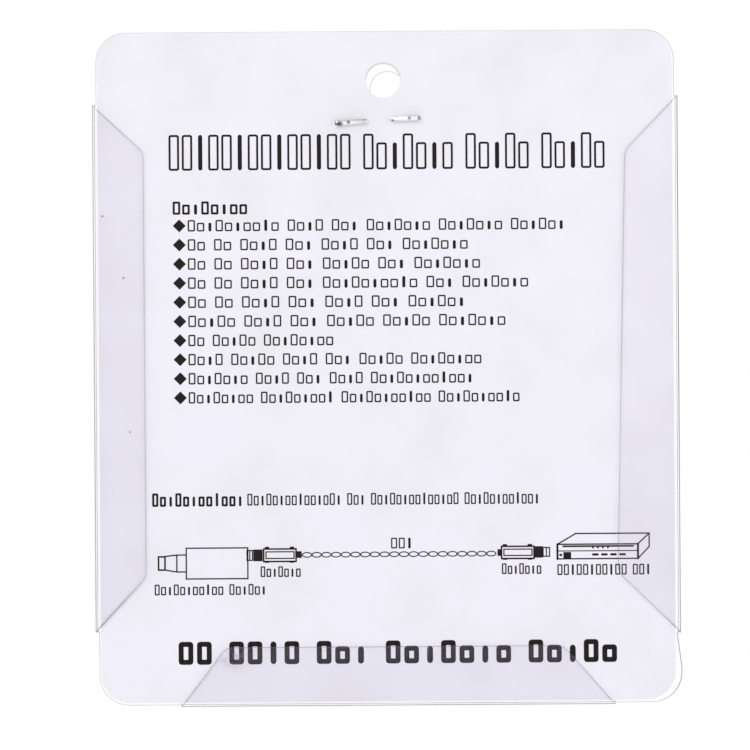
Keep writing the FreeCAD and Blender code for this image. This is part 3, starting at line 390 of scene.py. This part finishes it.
# The drawn wire pair: one flat eyelet, repeated along the row, so that two wires seem to cross.
LOBES, LOBE_LENGTH, LOBE_HEIGHT, PAIR_LEFT = 20, 1.435, 0.86, -12.45
select_none()
bpy.ops.mesh.primitive_circle_add(vertices=16, radius=MM / 2, fill_type="NGON", rotation=(math.pi / 2, 0, 0),
                                  location=((PAIR_LEFT + LOBE_LENGTH / 2) * MM, ink_face, -70.05 * MM))
pair = bpy.context.object
pair.name = "printed_wire_pair"
bpy.ops.object.transform_apply(location=True, rotation=True, scale=True)
bpy.ops.object.mode_set(mode="EDIT")
bpy.ops.mesh.select_all(action="SELECT")
middle = Vector(((PAIR_LEFT + LOBE_LENGTH / 2) * MM, ink_face, -70.05 * MM))
bpy.ops.transform.resize(value=(LOBE_LENGTH + 0.1, 1, LOBE_HEIGHT), center_override=middle)
bpy.ops.mesh.inset(thickness=0.16 * MM)
bpy.ops.mesh.delete(type="FACE")
bpy.ops.object.mode_set(mode="OBJECT")
repeat = pair.modifiers.new("repeat", "ARRAY")
repeat.use_relative_offset = False
repeat.use_constant_offset = True
repeat.constant_offset_displace = (LOBE_LENGTH * MM, 0, 0)
repeat.count = LOBES
bpy.ops.object.modifier_apply(modifier="repeat")
bpy.ops.object.mode_set(mode="EDIT")
end_print(pair, 0)

# The clear sheet. One piece of thermoformed film: a flat panel on the card's front with the bubble
# drawn out of it, and three margins that are folded round the card's edges and lie on its back. It
# is modelled as its inner face first, and then given its thickness outwards.

film_low, film_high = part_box("clear_blister")
FILM = 0.3 * MM
STANDOFF = 0.012 * MM
CARD_MIDDLE = (card_high.y + card_low.y) / 2
panel_face = card_high.y + STANDOFF
flap_face = card_low.y - STANDOFF
bend_left = film_low.x + FILM + 0.2 * MM
bend_right = film_high.x - 0.7 * MM
bend_low = film_low.z + FILM + 0.2 * MM
SWING, STEP_RIGHT, STEP_LOW = 0.65 * MM, 0.05 * MM, 0.3 * MM
panel_low = bend_low - STEP_LOW
LEFT_FOLD = (-81.3 * MM, -3.3 * MM)
RIGHT_FOLD = (-81.9 * MM, -2.4 * MM)
LOW_FOLD = (-30.5 * MM, 33.8 * MM)
SHEET_CORNER, NICK, SWING_FOOT = 4.4 * MM, 0.1 * MM, -87.0 * MM
BUBBLE_SIDE, BUBBLE_FOOT, BUBBLE_HEAD = 24.7 * MM, -83.7 * MM, -25.3 * MM
BUBBLE_CORNER, BUBBLE_RIM, BUBBLE_DRAFT = 5.7 * MM, 2.1 * MM, math.radians(5)
FREE_EDGE_RISE = 0.12 * MM
BEND_STEPS, BEND_SLANT, CUT_EDGE, FLAP_CORNER = 8, 0.46 * MM, 0.11 * MM, 0.9 * MM


def pick(piece, kind, wanted):
    """Selects the vertices, edges or faces of the open mesh whose middle a test picks."""
    bpy.ops.mesh.select_mode(type=kind)
    bpy.ops.mesh.select_all(action="DESELECT")
    bpy.ops.object.mode_set(mode="OBJECT")
    mesh = piece.data
    if kind == "VERT":
        middles = [(corner, corner.co) for corner in mesh.vertices]
    elif kind == "EDGE":
        middles = [(edge, (mesh.vertices[edge.vertices[0]].co + mesh.vertices[edge.vertices[1]].co) / 2)
                   for edge in mesh.edges]
    else:
        middles = [(face, face.center) for face in mesh.polygons]
    for part, at in middles:
        part.select = bool(wanted(at))
    bpy.ops.object.mode_set(mode="EDIT")


def begin_piece(name):
    """An empty mesh, open for editing."""
    select_none()
    bpy.ops.mesh.primitive_plane_add(size=MM)
    made = bpy.context.object
    made.name = name
    bpy.ops.object.mode_set(mode="EDIT")
    bpy.ops.mesh.delete(type="VERT")
    return made


def keep_outline():
    """Leaves only the outline of the open mesh, as edges."""
    bpy.ops.mesh.select_mode(type="EDGE")
    bpy.ops.mesh.select_all(action="DESELECT")
    bpy.ops.mesh.select_non_manifold(extend=False, use_wire=False, use_boundary=True,
                                     use_multi_face=False, use_non_contiguous=False, use_verts=False)
    bpy.ops.mesh.select_all(action="INVERT")
    bpy.ops.mesh.delete(type="EDGE")
    bpy.ops.mesh.select_all(action="SELECT")
    bpy.ops.mesh.delete(type="ONLY_FACE")


def upright_plane(left, right, low, high, depth):
    """A flat rectangle that faces front and back, as one face."""
    middle = Vector(((left + right) / 2, depth, (low + high) / 2))
    bpy.ops.mesh.primitive_plane_add(size=1, location=middle, rotation=(-math.pi / 2, 0, 0))
    bpy.ops.transform.resize(value=(right - left, 1, high - low), center_override=middle)


sheet = begin_piece("clear_sheet")
upright_plane(bend_left, film_high.x, panel_low, film_high.z, panel_face)
bpy.ops.mesh.bevel(offset=SHEET_CORNER, segments=8, affect="VERTICES")
for across in (LOW_FOLD[0] - NICK, *LOW_FOLD, LOW_FOLD[1] + NICK):
    bpy.ops.mesh.select_all(action="SELECT")
    bpy.ops.mesh.bisect(plane_co=(across, 0, 0), plane_no=(1, 0, 0), threshold=0.001 * MM)
for level in LEFT_FOLD:
    pick(sheet, "FACE", lambda at: at.x < LOW_FOLD[0] - NICK)
    bpy.ops.mesh.bisect(plane_co=(0, 0, level), plane_no=(0, 0, 1), threshold=0.001 * MM)
for level in (RIGHT_FOLD[1] + NICK, *RIGHT_FOLD, RIGHT_FOLD[0] - NICK, SWING_FOOT):
    pick(sheet, "FACE", lambda at: at.x > LOW_FOLD[1] + NICK)
    bpy.ops.mesh.bisect(plane_co=(0, 0, level), plane_no=(0, 0, 1), threshold=0.001 * MM)
keep_outline()
pick(sheet, "VERT", lambda at: at.x > 38 * MM and at.z > RIGHT_FOLD[0] - 0.5 * NICK)
bpy.ops.transform.translate(value=(-SWING, 0, 0))
pick(sheet, "VERT", lambda at: at.x > 38 * MM and RIGHT_FOLD[0] - 0.5 * NICK < at.z < RIGHT_FOLD[1] + 0.5 * NICK)
bpy.ops.transform.translate(value=(-STEP_RIGHT, 0, 0))
pick(sheet, "VERT", lambda at: at.x > 38 * MM and RIGHT_FOLD[0] - 1.5 * NICK < at.z < RIGHT_FOLD[0] - 0.5 * NICK)
bpy.ops.transform.translate(value=(-SWING, 0, 0))
pick(sheet, "VERT", lambda at: at.z < panel_low + 0.01 * MM
     and LOW_FOLD[0] - 0.5 * NICK < at.x < LOW_FOLD[1] + 0.5 * NICK)
bpy.ops.transform.translate(value=(0, 0, STEP_LOW))

# The hang hole and the two slots of the staple's legs are outlines inside that outline.
STAPLE_MIDDLE = Vector((-0.84 * MM, 0, -5.9 * MM))
STAPLE_TILT, STAPLE_REACH = math.radians(3.3), 6.25 * MM
bpy.ops.mesh.primitive_circle_add(vertices=48, radius=2.55 * MM, rotation=(math.pi / 2, 0, 0),
                                  location=(0.66 * MM, panel_face, -1.19 * MM))
for side in (-1, 1):
    leg_x = STAPLE_MIDDLE.x + side * STAPLE_REACH * math.cos(STAPLE_TILT)
    leg_z = STAPLE_MIDDLE.z + side * STAPLE_REACH * math.sin(STAPLE_TILT)
    upright_plane(leg_x - 0.36 * MM, leg_x + 0.36 * MM, leg_z - 0.46 * MM, leg_z + 0.46 * MM, panel_face)
    bpy.ops.mesh.delete(type="ONLY_FACE")

# The bubble: a sloping wall with round corners and a round rim, open at its foot.
upright_plane(-BUBBLE_SIDE, BUBBLE_SIDE, BUBBLE_FOOT, BUBBLE_HEAD, panel_face)
bpy.ops.mesh.bevel(offset=BUBBLE_CORNER, segments=8, affect="VERTICES")
bubble_rise = film_high.y - FILM - panel_face
shrink = 2 * bubble_rise * math.tan(BUBBLE_DRAFT)
bubble_middle = Vector((0, film_high.y - FILM, (BUBBLE_FOOT + BUBBLE_HEAD) / 2))
bpy.ops.mesh.select_mode(type="FACE")
pick(sheet, "FACE", lambda at: True)
bpy.ops.mesh.extrude_region_move(TRANSFORM_OT_translate={"value": (0, bubble_rise, 0)})
bpy.ops.transform.resize(value=(1 - shrink / (2 * BUBBLE_SIDE), 1, 1 - shrink / (BUBBLE_HEAD - BUBBLE_FOOT)),
                         center_override=bubble_middle)
bpy.ops.mesh.select_mode(type="EDGE")
pick(sheet, "EDGE", lambda at: at.y > film_high.y - FILM - 0.01 * MM)
bpy.ops.mesh.bevel(offset=BUBBLE_RIM, segments=5, affect="EDGES")

# The panel fills what lies between all those outlines, and the bubble meets it in a small round.
pick(sheet, "EDGE", lambda at: abs(at.y - panel_face) < 0.001 * MM)
bpy.ops.mesh.fill(use_beauty=True)
bpy.ops.mesh.select_all(action="SELECT")
bpy.ops.mesh.normals_make_consistent(inside=False)


def near_bubble_foot(at):
    """Whether a place lies on the line where the bubble rises from the panel."""
    return (abs(at.y - panel_face) < 0.001 * MM and abs(at.x) < BUBBLE_SIDE + 0.01 * MM
            and BUBBLE_FOOT - 0.01 * MM < at.z < BUBBLE_HEAD + 0.01 * MM)


pick(sheet, "EDGE", near_bubble_foot)
bpy.ops.mesh.bevel(offset=0.45 * MM, segments=3, affect="EDGES")


def shorten(lengthwise, ends, new_ends):
    """Brings the ends of the selected edge to new places along its length."""
    scale = (new_ends[1] - new_ends[0]) / (ends[1] - ends[0])
    still = (new_ends[0] - scale * ends[0]) / (1 - scale)
    bpy.ops.transform.resize(value=tuple(1 + (scale - 1) * part for part in lengthwise),
                             center_override=Vector(lengthwise) * still)


def fold(on_edge, centre, axis, towards, ends, new_ends, lengthwise):
    """Bends a margin round the card's edge and draws its flap out. Its ends are cut aslant from the
    bend's outermost line on."""
    pick(sheet, "EDGE", on_edge)
    whole = ends
    for step in range(1, BEND_STEPS + 1):
        bpy.ops.mesh.spin(steps=1, angle=math.pi / BEND_STEPS, center=centre, axis=axis)
        past = (step - BEND_STEPS / 2) * math.pi / BEND_STEPS
        if past > 0:
            cut = BEND_SLANT * (1 - math.cos(past))
            slanted = (whole[0] + cut, whole[1] - cut)
            shorten(lengthwise, ends, slanted)
            ends = slanted
    bpy.ops.mesh.extrude_region_move(TRANSFORM_OT_translate={"value": towards})
    shorten(lengthwise, ends, new_ends)


fold(lambda at: abs(at.x - bend_left) < 0.001 * MM and LEFT_FOLD[0] < at.z < LEFT_FOLD[1],
     (bend_left, CARD_MIDDLE, 0), (0, 0, -1), (7.05 * MM, -FREE_EDGE_RISE, 0),
     LEFT_FOLD, (-73.3 * MM, -10.3 * MM), (0, 0, 1))
fold(lambda at: at.x > bend_right - 0.01 * MM and RIGHT_FOLD[0] < at.z < RIGHT_FOLD[1],
     (bend_right, CARD_MIDDLE, 0), (0, 0, 1), (-7.4 * MM, -FREE_EDGE_RISE, 0),
     RIGHT_FOLD, (-72.9 * MM, -10.5 * MM), (0, 0, 1))
fold(lambda at: abs(at.z - bend_low) < 0.001 * MM and LOW_FOLD[0] < at.x < LOW_FOLD[1],
     (0, CARD_MIDDLE, bend_low), (1, 0, 0), (0, -FREE_EDGE_RISE, 8.25 * MM),
     LOW_FOLD, (-23.8 * MM, 26.1 * MM), (1, 0, 0))
pick(sheet, "VERT", lambda at: at.y < flap_face - 0.5 * FREE_EDGE_RISE and at.x > 30 * MM and at.z < -70 * MM)
bpy.ops.transform.translate(value=(-1.4 * MM, 0, 0))
pick(sheet, "VERT", lambda at: at.y < flap_face - 0.5 * FREE_EDGE_RISE)
bpy.ops.mesh.bevel(offset=FLAP_CORNER, segments=6, affect="VERTICES")


def clear_film():
    """Clear film: it lets light through, and mirrors more of it the flatter it is looked along. Its mirrored
    colour is painted dark where it is seen edge-on and along its fold lines, and its flaps carry a haze that is
    partly painted shade.
    """
    material, start = new_material("clear_film")
    facing = start.node("LayerWeight", {}, {"Blend": 0.5}, output=1)
    back = 1 - along(start, "Y").ramp(-0.1, 0.1)
    across, up = along(start, "X"), along(start, "Z")
    # The flaps on the back get a grey-lavender haze: partly the film's own haze, partly painted shade in place of
    # darker reflections.
    left_flap = 1 - across.ramp(-36.0, -34.0)
    low_flap = 1 - up.ramp(-84.5, -82.5)
    right_flap = across.ramp(33.0, 35.0) * (1 - up.ramp(-60.0, -40.0))
    flap_haze_and_shade = start.maths("MAXIMUM", start.maths("MAXIMUM", left_flap, low_flap), right_flap) * back
    cloud = noise(start, 120.0, 3.0) * 0.5 + 0.75
    scratch = noise(start, 1.0, 4.0, at=stretched(start, (2600.0, 900.0, 110.0))).ramp(0.66, 0.74)
    cross_scratch = noise(start, 1.0, 3.0, at=stretched(start, (90.0, 900.0, 2400.0))).ramp(0.69, 0.76)
    worn = start.maths("MAXIMUM", scratch, cross_scratch) * noise(start, 60.0).ramp(0.45, 0.65)
    specks = (spot(start, -41.65, -19.75, 0.15, 0.07) + spot(start, -38.6, -28.9, 0.13, 0.07)
              + spot(start, -37.8, -51.7, 0.12, 0.07))
    smear = spot(start, -23.2, -84.8, 1.9, 1.5) * noise(start, 900.0, 3.0).ramp(0.42, 0.7)
    dirt = start.maths("MINIMUM", specks + smear * 0.35, 1.0) * back
    # Painted shade along the fold lines: where a bend is seen edge-on, the film is made a dark mirror.
    bend = start.maths("MAXIMUM", 1 - across.ramp(-42.75, -42.6), across.ramp(43.05, 43.2))
    bend = start.maths("MAXIMUM", bend, 1 - up.ramp(-92.05, -91.95))
    fold_shade = bend * facing.ramp(0.25, 0.5)
    squared = facing * facing
    mirror = squared * squared * facing * 0.55 + 0.009
    amount = mirror + flap_haze_and_shade * cloud * 0.023 + worn * 0.1 + dirt * 0.6 + fold_shade * 0.9
    amount = start.maths("MINIMUM", amount, 1.0)
    # Painted shade: the mirrored colour goes dark where the film is seen edge-on and along the folds.
    edge_on_shade = start.maths("MAXIMUM", facing.ramp(0.75, 1.0) * 0.5, fold_shade)
    colour = start.mixed(edge_on_shade, (0.97, 0.965, 0.98, 1), (0.10, 0.10, 0.12, 1))
    colour = start.mixed(flap_haze_and_shade, colour, (0.64, 0.60, 0.74, 1))
    colour = start.mixed(dirt, colour, (0.26, 0.18, 0.12, 1))
    gloss = surface(start, {
        "Base Color": colour, "Metallic": 1 - dirt, "Roughness": worn * 0.4 + dirt * 0.6 + 0.07,
        "Normal": bumped(start, noise(start, 130.0) * 0.6 + noise(start, 30.0) * 2.0, 0.02 * MM),
    })
    clear = start.node("BsdfTransparent", {}, {"Color": (0.9955, 0.994, 1.0, 1)})
    finish_material(start, start.node("MixShader", {}, {0: amount, 1: clear, 2: gloss}))
    return material


def cut_edge_shade():
    """The film's cut edge, painted as a grey line of shade, the dark line a film's edge shows where light bends
    through it; two patches low on the sheet get more of it.
    """
    material, start = new_material("cut_edge_shade")
    colour = start.mixed(noise(start, 1500.0), (0.20, 0.19, 0.23, 1), (0.38, 0.37, 0.43, 1))
    edge = surface(start, {"Base Color": colour, "Roughness": noise(start, 2500.0) * 0.2 + 0.25})
    clear = start.node("BsdfTransparent", {}, {"Color": (0.93, 0.92, 0.95, 1)})
    # Painted shade: two patches low on the sheet get a stronger dark edge line.
    deeper_edge_shade = spot(start, 43.2, -86.2, 5.0, 2.5) * 0.5 + spot(start, -41.0, -79.0, 5.0, 3.0) * 0.3
    amount = noise(start, 25.0).ramp(0.35, 0.7) * 0.14 + 0.15 + deeper_edge_shade
    finish_material(start, start.node("MixShader", {}, {0: amount, 1: clear, 2: edge}))
    return material


bpy.ops.object.mode_set(mode="OBJECT")
if sum(face.normal.y * face.area for face in sheet.data.polygons if face.center.y > 5 * MM) < 0:
    bpy.ops.object.mode_set(mode="EDIT")
    bpy.ops.mesh.select_all(action="SELECT")
    bpy.ops.mesh.flip_normals()
    bpy.ops.object.mode_set(mode="OBJECT")
sheet.data.materials.append(clear_film())
sheet.data.materials.append(cut_edge_shade())

# A narrow band along every cut edge gets the cut-edge material, a grey line of painted shade.
bpy.ops.object.mode_set(mode="EDIT")
bpy.ops.mesh.select_mode(type="FACE")
bpy.ops.mesh.select_all(action="SELECT")
bpy.ops.mesh.remove_doubles(threshold=0.01 * MM)
bpy.ops.mesh.inset(thickness=CUT_EDGE, use_boundary=True, use_even_offset=False, use_select_inset=True)
sheet.active_material_index = 1
bpy.ops.object.material_slot_assign()
bpy.ops.object.mode_set(mode="OBJECT")
wall = sheet.modifiers.new("wall", "SOLIDIFY")
wall.thickness = FILM
wall.offset = 1
wall.use_even_offset = True
wall.use_rim = True
wall.material_offset_rim = 1
bpy.ops.object.modifier_apply(modifier="wall")
bpy.ops.object.shade_smooth_by_angle(angle=math.radians(32))
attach(sheet, "root")
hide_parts("clear_blister")

# The staple. One flat steel wire, drawn as a tube of four faces from one tip to the other: up from
# the card's back, through the sheet, along the crown and back again. Both legs are bent inwards.

WIRE_ACROSS, WIRE_THICK, WIRE_BEND = 0.7 * MM, 0.5 * MM, 0.35 * MM
CROWN = 0.97 * MM
TIP = 0.26 * MM
staple = begin_piece("staple_wire")
staple_legs = []
for leg, rise in ((4.9 * MM, 0.3 * MM), (4.45 * MM, 0.3 * MM)):
    slope = math.atan2(rise, leg)
    to_corner = (leg - WIRE_THICK / 2) / math.cos(slope)
    staple_legs.append((slope, to_corner, TIP + to_corner * math.sin(slope)))
(slope_left, run_left, drop_left), (slope_right, run_right, drop_right) = staple_legs
turn_left, turn_right = math.pi / 2 + slope_left, math.pi / 2 + slope_right
cut_left = WIRE_BEND * math.tan(turn_left / 2)
cut_right = WIRE_BEND * math.tan(turn_right / 2)
STEPS = [
    ("run", run_left - cut_left), ("turn", turn_left), ("run", CROWN + drop_left - cut_left - WIRE_BEND),
    ("turn", math.pi / 2), ("run", 2 * STAPLE_REACH - 2 * WIRE_BEND), ("turn", math.pi / 2),
    ("run", CROWN + drop_right - cut_right - WIRE_BEND), ("turn", turn_right), ("run", run_right - cut_right),
]
at = Vector((-STAPLE_REACH + run_left * math.cos(slope_left), -TIP, 0))
heading = Vector((-math.cos(slope_left), -math.sin(slope_left), 0))
bpy.ops.mesh.primitive_plane_add(size=1, location=at, rotation=(0, math.pi / 2, 0))
bpy.ops.transform.resize(value=(1, WIRE_THICK, WIRE_ACROSS), center_override=at)
bpy.ops.mesh.select_mode(type="EDGE")
bpy.ops.mesh.delete(type="ONLY_FACE")
bpy.ops.mesh.select_all(action="SELECT")
for step, amount in STEPS:
    if step == "run":
        bpy.ops.mesh.extrude_region_move(TRANSFORM_OT_translate={"value": heading * amount})
        at += heading * amount
    else:
        centre = at + Vector((heading.y, -heading.x, 0)) * WIRE_BEND
        bpy.ops.mesh.spin(steps=6, angle=amount, center=centre, axis=(0, 0, 1))
        spoke = at - centre
        cosine, sine = math.cos(-amount), math.sin(-amount)
        at = centre + Vector((spoke.x * cosine - spoke.y * sine, spoke.x * sine + spoke.y * cosine, 0))
        heading = Vector((heading.x * cosine - heading.y * sine, heading.x * sine + heading.y * cosine, 0))
bpy.ops.mesh.select_all(action="SELECT")
bpy.ops.mesh.remove_doubles(threshold=0.001 * MM)
for tip_low, tip_high in ((-1.7 * MM, 0), (0, 2.12 * MM)):
    pick(staple, "EDGE", lambda at: tip_low < at.x < tip_high and at.y < 0.1 * MM)
    bpy.ops.mesh.edge_face_add()
bpy.ops.mesh.select_all(action="SELECT")
bpy.ops.mesh.normals_make_consistent(inside=False)
bpy.ops.object.mode_set(mode="OBJECT")
rounded = staple.modifiers.new("rounded", "BEVEL")
rounded.width = 0.09 * MM
rounded.segments = 2
rounded.limit_method = "ANGLE"
rounded.angle_limit = math.radians(40)
bpy.ops.object.modifier_apply(modifier="rounded")
bpy.ops.object.mode_set(mode="EDIT")
bpy.ops.mesh.select_all(action="SELECT")
bpy.ops.transform.rotate(value=STAPLE_TILT, orient_axis="Y", center_override=(0, 0, 0))
bpy.ops.transform.translate(value=STAPLE_MIDDLE)
bpy.ops.object.mode_set(mode="OBJECT")
bpy.ops.object.shade_smooth_by_angle(angle=math.radians(35))


def bright_wire():
    """Bright drawn steel, with fine lines along the wire, a few dull spots, and dark reflections painted at its
    bends.
    """
    material, start = new_material("bright_wire")
    lines = noise(start, 1.0, 3.0, at=stretched(start, (300.0, 4000.0, 4000.0)))
    dull = noise(start, 900.0, 3.0).ramp(0.55, 0.7)
    colour = start.mixed(dull * 0.5, (0.90, 0.90, 0.92, 1), (0.45, 0.44, 0.45, 1))
    # Painted reflections: dark spots on the legs where the bent wire would mirror something dark.
    dark_reflections = (spot(start, -6.5, -6.4, 0.45, 0.3) + spot(start, -5.15, -6.1, 0.22, 0.2)
             + spot(start, 3.85, -5.55, 0.2, 0.2) + spot(start, 5.3, -5.6, 0.2, 0.2) + spot(start, 1.4, -5.8, 0.15, 0.15))
    colour = start.mixed(start.maths("MINIMUM", dark_reflections, 1.0) * 0.9, colour, (0.03, 0.028, 0.028, 1))
    finish_material(start, surface(start, {
        "Base Color": colour, "Metallic": 1.0, "Roughness": lines * 0.15 + dull * 0.2 + 0.12,
        "Normal": bumped(start, lines, 0.004 * MM),
    }))
    return material


staple.data.materials.append(bright_wire())
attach(staple, "root")
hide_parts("staple")

# The baluns in the bubble. Each has a black moulded housing and collar, with the fine grain of a
# spark-eroded mould, and a duller screw terminal.


def moulded(name, base, grain, rough):
    """Moulded plastic: an even colour with a little bloom, and a grained face."""
    material, start = new_material(name)
    bloom = noise(start, 160.0, 3.0).ramp(0.4, 0.8)
    paler = tuple(part * 1.6 + 0.008 for part in base[:3]) + (1,)
    colour = start.mixed(bloom * 0.5, base, paler)
    pits = start.node("TexVoronoi", {"feature": "F1"}, {"Vector": place(start), "Scale": grain})
    finish_material(start, surface(start, {
        "Base Color": colour, "Roughness": bloom * 0.12 + rough,
        "Normal": bumped(start, pits + noise(start, grain * 0.5) * 0.5, 0.03 * MM),
    }))
    return material


housing_black = moulded("grained_black", (0.013, 0.013, 0.014, 1), 2800.0, 0.42)
collar_black = moulded("satin_black", (0.02, 0.02, 0.022, 1), 1500.0, 0.3)
terminal_black = moulded("terminal_black", (0.017, 0.018, 0.017, 1), 1100.0, 0.36)
white_insulator = moulded("white_insulator", (0.78, 0.77, 0.73, 1), 900.0, 0.4)
for side in ("_a", "_b"):
    paint(["housing_base" + side, "housing_cover" + side], housing_black)
    paint(["collar" + side], collar_black)
    paint(["terminal_block" + side], terminal_black)
    paint(["insulator" + side], white_insulator)

# The metal of the baluns: turned and nickelled plug and nut, gold-plated pin, tinned clamps, and
# zinc-plated screws.


def plated(name, bright, dull, rough, lines):
    """Plated metal, with turning or rolling lines and a few duller clouds."""
    material, start = new_material(name)
    turned = noise(start, 1.0, 3.0, at=stretched(start, lines))
    cloud = noise(start, 210.0, 4.0).ramp(0.45, 0.75)
    finish_material(start, surface(start, {
        "Base Color": start.mixed(cloud * 0.6, bright, dull), "Metallic": 1.0,
        "Roughness": turned * 0.12 + cloud * 0.12 + rough, "Normal": bumped(start, turned, 0.006 * MM),
    }))
    return material


nickel = plated("nickel_plate", (0.78, 0.76, 0.71, 1), (0.56, 0.54, 0.50, 1), 0.14, (250.0, 250.0, 7000.0))
gold = plated("gold_plate", (0.90, 0.66, 0.28, 1), (0.72, 0.50, 0.20, 1), 0.12, (400.0, 400.0, 6000.0))
tin = plated("tin_plate", (0.72, 0.72, 0.71, 1), (0.50, 0.50, 0.50, 1), 0.28, (3000.0, 400.0, 400.0))
zinc = plated("zinc_plate", (0.70, 0.72, 0.74, 1), (0.48, 0.50, 0.52, 1), 0.22, (2500.0, 2500.0, 2500.0))
for side in ("_a", "_b"):
    paint(["plug_shell" + side, "coupling_nut" + side], nickel)
    paint(["centre_pin" + side], gold)
    paint(["wire_clamps" + side], tin)
    paint(["terminal_screws" + side], zinc)

# Inside the housing: a glass-fibre board under green lacquer, a ferrite core, and the coil of
# enamelled copper wire that is wound round its middle leg.


def lacquered_board():
    """Green lacquer over a weave of glass fibre, with a paler sawn edge."""
    material, start = new_material("lacquered_board")
    weave_across = start.maths("SINE", along(start, "X") * 9.0)
    weave_along = start.maths("SINE", along(start, "Z") * 9.0)
    weave = weave_across * weave_along
    normal = start.node("SeparateXYZ", {}, {0: start.node("NewGeometry", {}, {}, output=1)}, output=1)
    sawn = 1 - abs(normal).ramp(0.4, 0.8)
    lacquer = start.mixed(weave * 0.2 + 0.3, (0.012, 0.10, 0.035, 1), (0.03, 0.19, 0.06, 1))
    colour = start.mixed(sawn, lacquer, (0.36, 0.34, 0.20, 1))
    finish_material(start, surface(start, {
        "Base Color": colour, "Roughness": sawn * 0.5 + 0.25, "Normal": bumped(start, weave, 0.004 * MM),
    }))
    return material


def wound_wire():
    """Enamelled copper wire, as rows of round turns about the core's middle leg, with painted shade in the
    grooves between turns.
    """
    material, start = new_material("wound_wire")
    turns = abs(start.maths("SINE", along(start, "Z") * 12.0))
    # Painted shade: the copper is made dark in the grooves between turns.
    colour = start.mixed(turns, (0.16, 0.035, 0.012, 1), (0.72, 0.25, 0.11, 1))
    finish_material(start, surface(start, {
        "Base Color": colour, "Metallic": 0.8, "Roughness": noise(start, 900.0) * 0.15 + 0.25,
        "Normal": bumped(start, turns, 0.09 * MM),
    }))
    return material


ferrite = moulded("ferrite", (0.035, 0.033, 0.033, 1), 700.0, 0.55)
board_material, wire_material = lacquered_board(), wound_wire()
for side in ("_a", "_b"):
    paint(["circuit_board" + side], board_material)
    paint(["ferrite_core" + side], ferrite)
    paint(["coil" + side], wire_material)

# The stage. The pack hangs in front of nothing, and a pale round table stands well below it.

select_none()
TABLE_TOP = card_low.z - 45 * MM
bpy.ops.mesh.primitive_circle_add(vertices=96, radius=0.3, fill_type="NGON", location=(0, 0, TABLE_TOP))
table = bpy.context.object
table.name = "table"
bpy.ops.object.transform_apply(location=True, rotation=True, scale=True)
bpy.ops.object.mode_set(mode="EDIT")
bpy.ops.mesh.select_all(action="SELECT")
bpy.ops.mesh.extrude_region_move(TRANSFORM_OT_translate={"value": (0, 0, -12 * MM)})
bpy.ops.mesh.select_all(action="SELECT")
bpy.ops.mesh.normals_make_consistent(inside=False)
bpy.ops.object.mode_set(mode="OBJECT")
rounded = table.modifiers.new("rounded", "BEVEL")
rounded.width = 2 * MM
rounded.segments = 3
bpy.ops.object.modifier_apply(modifier="rounded")
bpy.ops.object.shade_smooth_by_angle(angle=math.radians(35))


def table_white():
    """Plain matt white."""
    material, start = new_material("table_white")
    finish_material(start, surface(start, {
        "Base Color": (0.9, 0.9, 0.9, 1), "Roughness": noise(start, 40.0) * 0.1 + 0.6}))
    return material


table.data.materials.append(table_white())

# The light. A white room with one dim band round the viewer, which metal and film mirror, and three
# soft lamps: from the upper left, from the right, and from behind for the bubble's side.

scene = bpy.context.scene
room = scene.world or bpy.data.worlds.new("room")
scene.world = room
room.use_nodes = True
room.node_tree.nodes.clear()
sky = Shade(room.node_tree)
seen = sky.node("LightPath", {}, {}, output=0)
mirrored = sky.node("LightPath", {}, {}, output=3)
through = sky.node("LightPath", {}, {}, output=6)
shown = sky.maths("MAXIMUM", seen, sky.maths("MAXIMUM", mirrored, through))
towards = sky.node("SeparateXYZ", {}, {0: sky.node("TexCoord", {}, {}, output=0)}, output=1)
band = sky.node("ValToRGB", {"stops": [(0.0, 1.0), (0.03, 1.0), (0.09, 0.3), (0.5, 0.35), (0.62, 1.0),
                                       (0.74, 1.0), (0.82, 0.6), (0.95, 0.6), (0.985, 1.0)]},
                {0: towards * 0.5 + 0.5})
white_or_band = sky.mixed(mirrored, (1, 1, 1, 1), band)
FILL = 0.72
strength = shown * (1 - FILL) + FILL
background = sky.node("Background", {}, {"Color": white_or_band, "Strength": strength})
made = room.node_tree.nodes.new("ShaderNodeOutputWorld")
room.node_tree.links.new(background.socket, made.inputs["Surface"])
aim = Vector((0, 0, -42 * MM))
for name, spot_at, wide, power in (("key", (-0.45, -0.75, 0.35), 0.5, 2.2), ("side", (0.7, -0.55, 0.0), 0.4, 1.3),
                                   ("behind", (0.3, 0.8, 0.4), 0.6, 3.6)):
    bpy.ops.object.light_add(type="AREA", location=spot_at)
    lamp = bpy.context.object
    lamp.name = name
    lamp.data.size = wide
    lamp.data.energy = power
    lamp.rotation_euler = (aim - Vector(spot_at)).to_track_quat("-Z", "Y").to_euler()

# The camera looks straight on from 0.9 metres, and is turned as the photograph is.

bpy.ops.object.camera_add(location=(-1.488 * MM, -0.9, -43.51 * MM),
                          rotation=(math.pi / 2, math.radians(0.4), 0))
camera = bpy.context.object
camera.data.lens = 292
camera.data.sensor_width = 36
camera.data.clip_start = 0.05
scene.camera = camera
scene.view_settings.view_transform = "Standard"
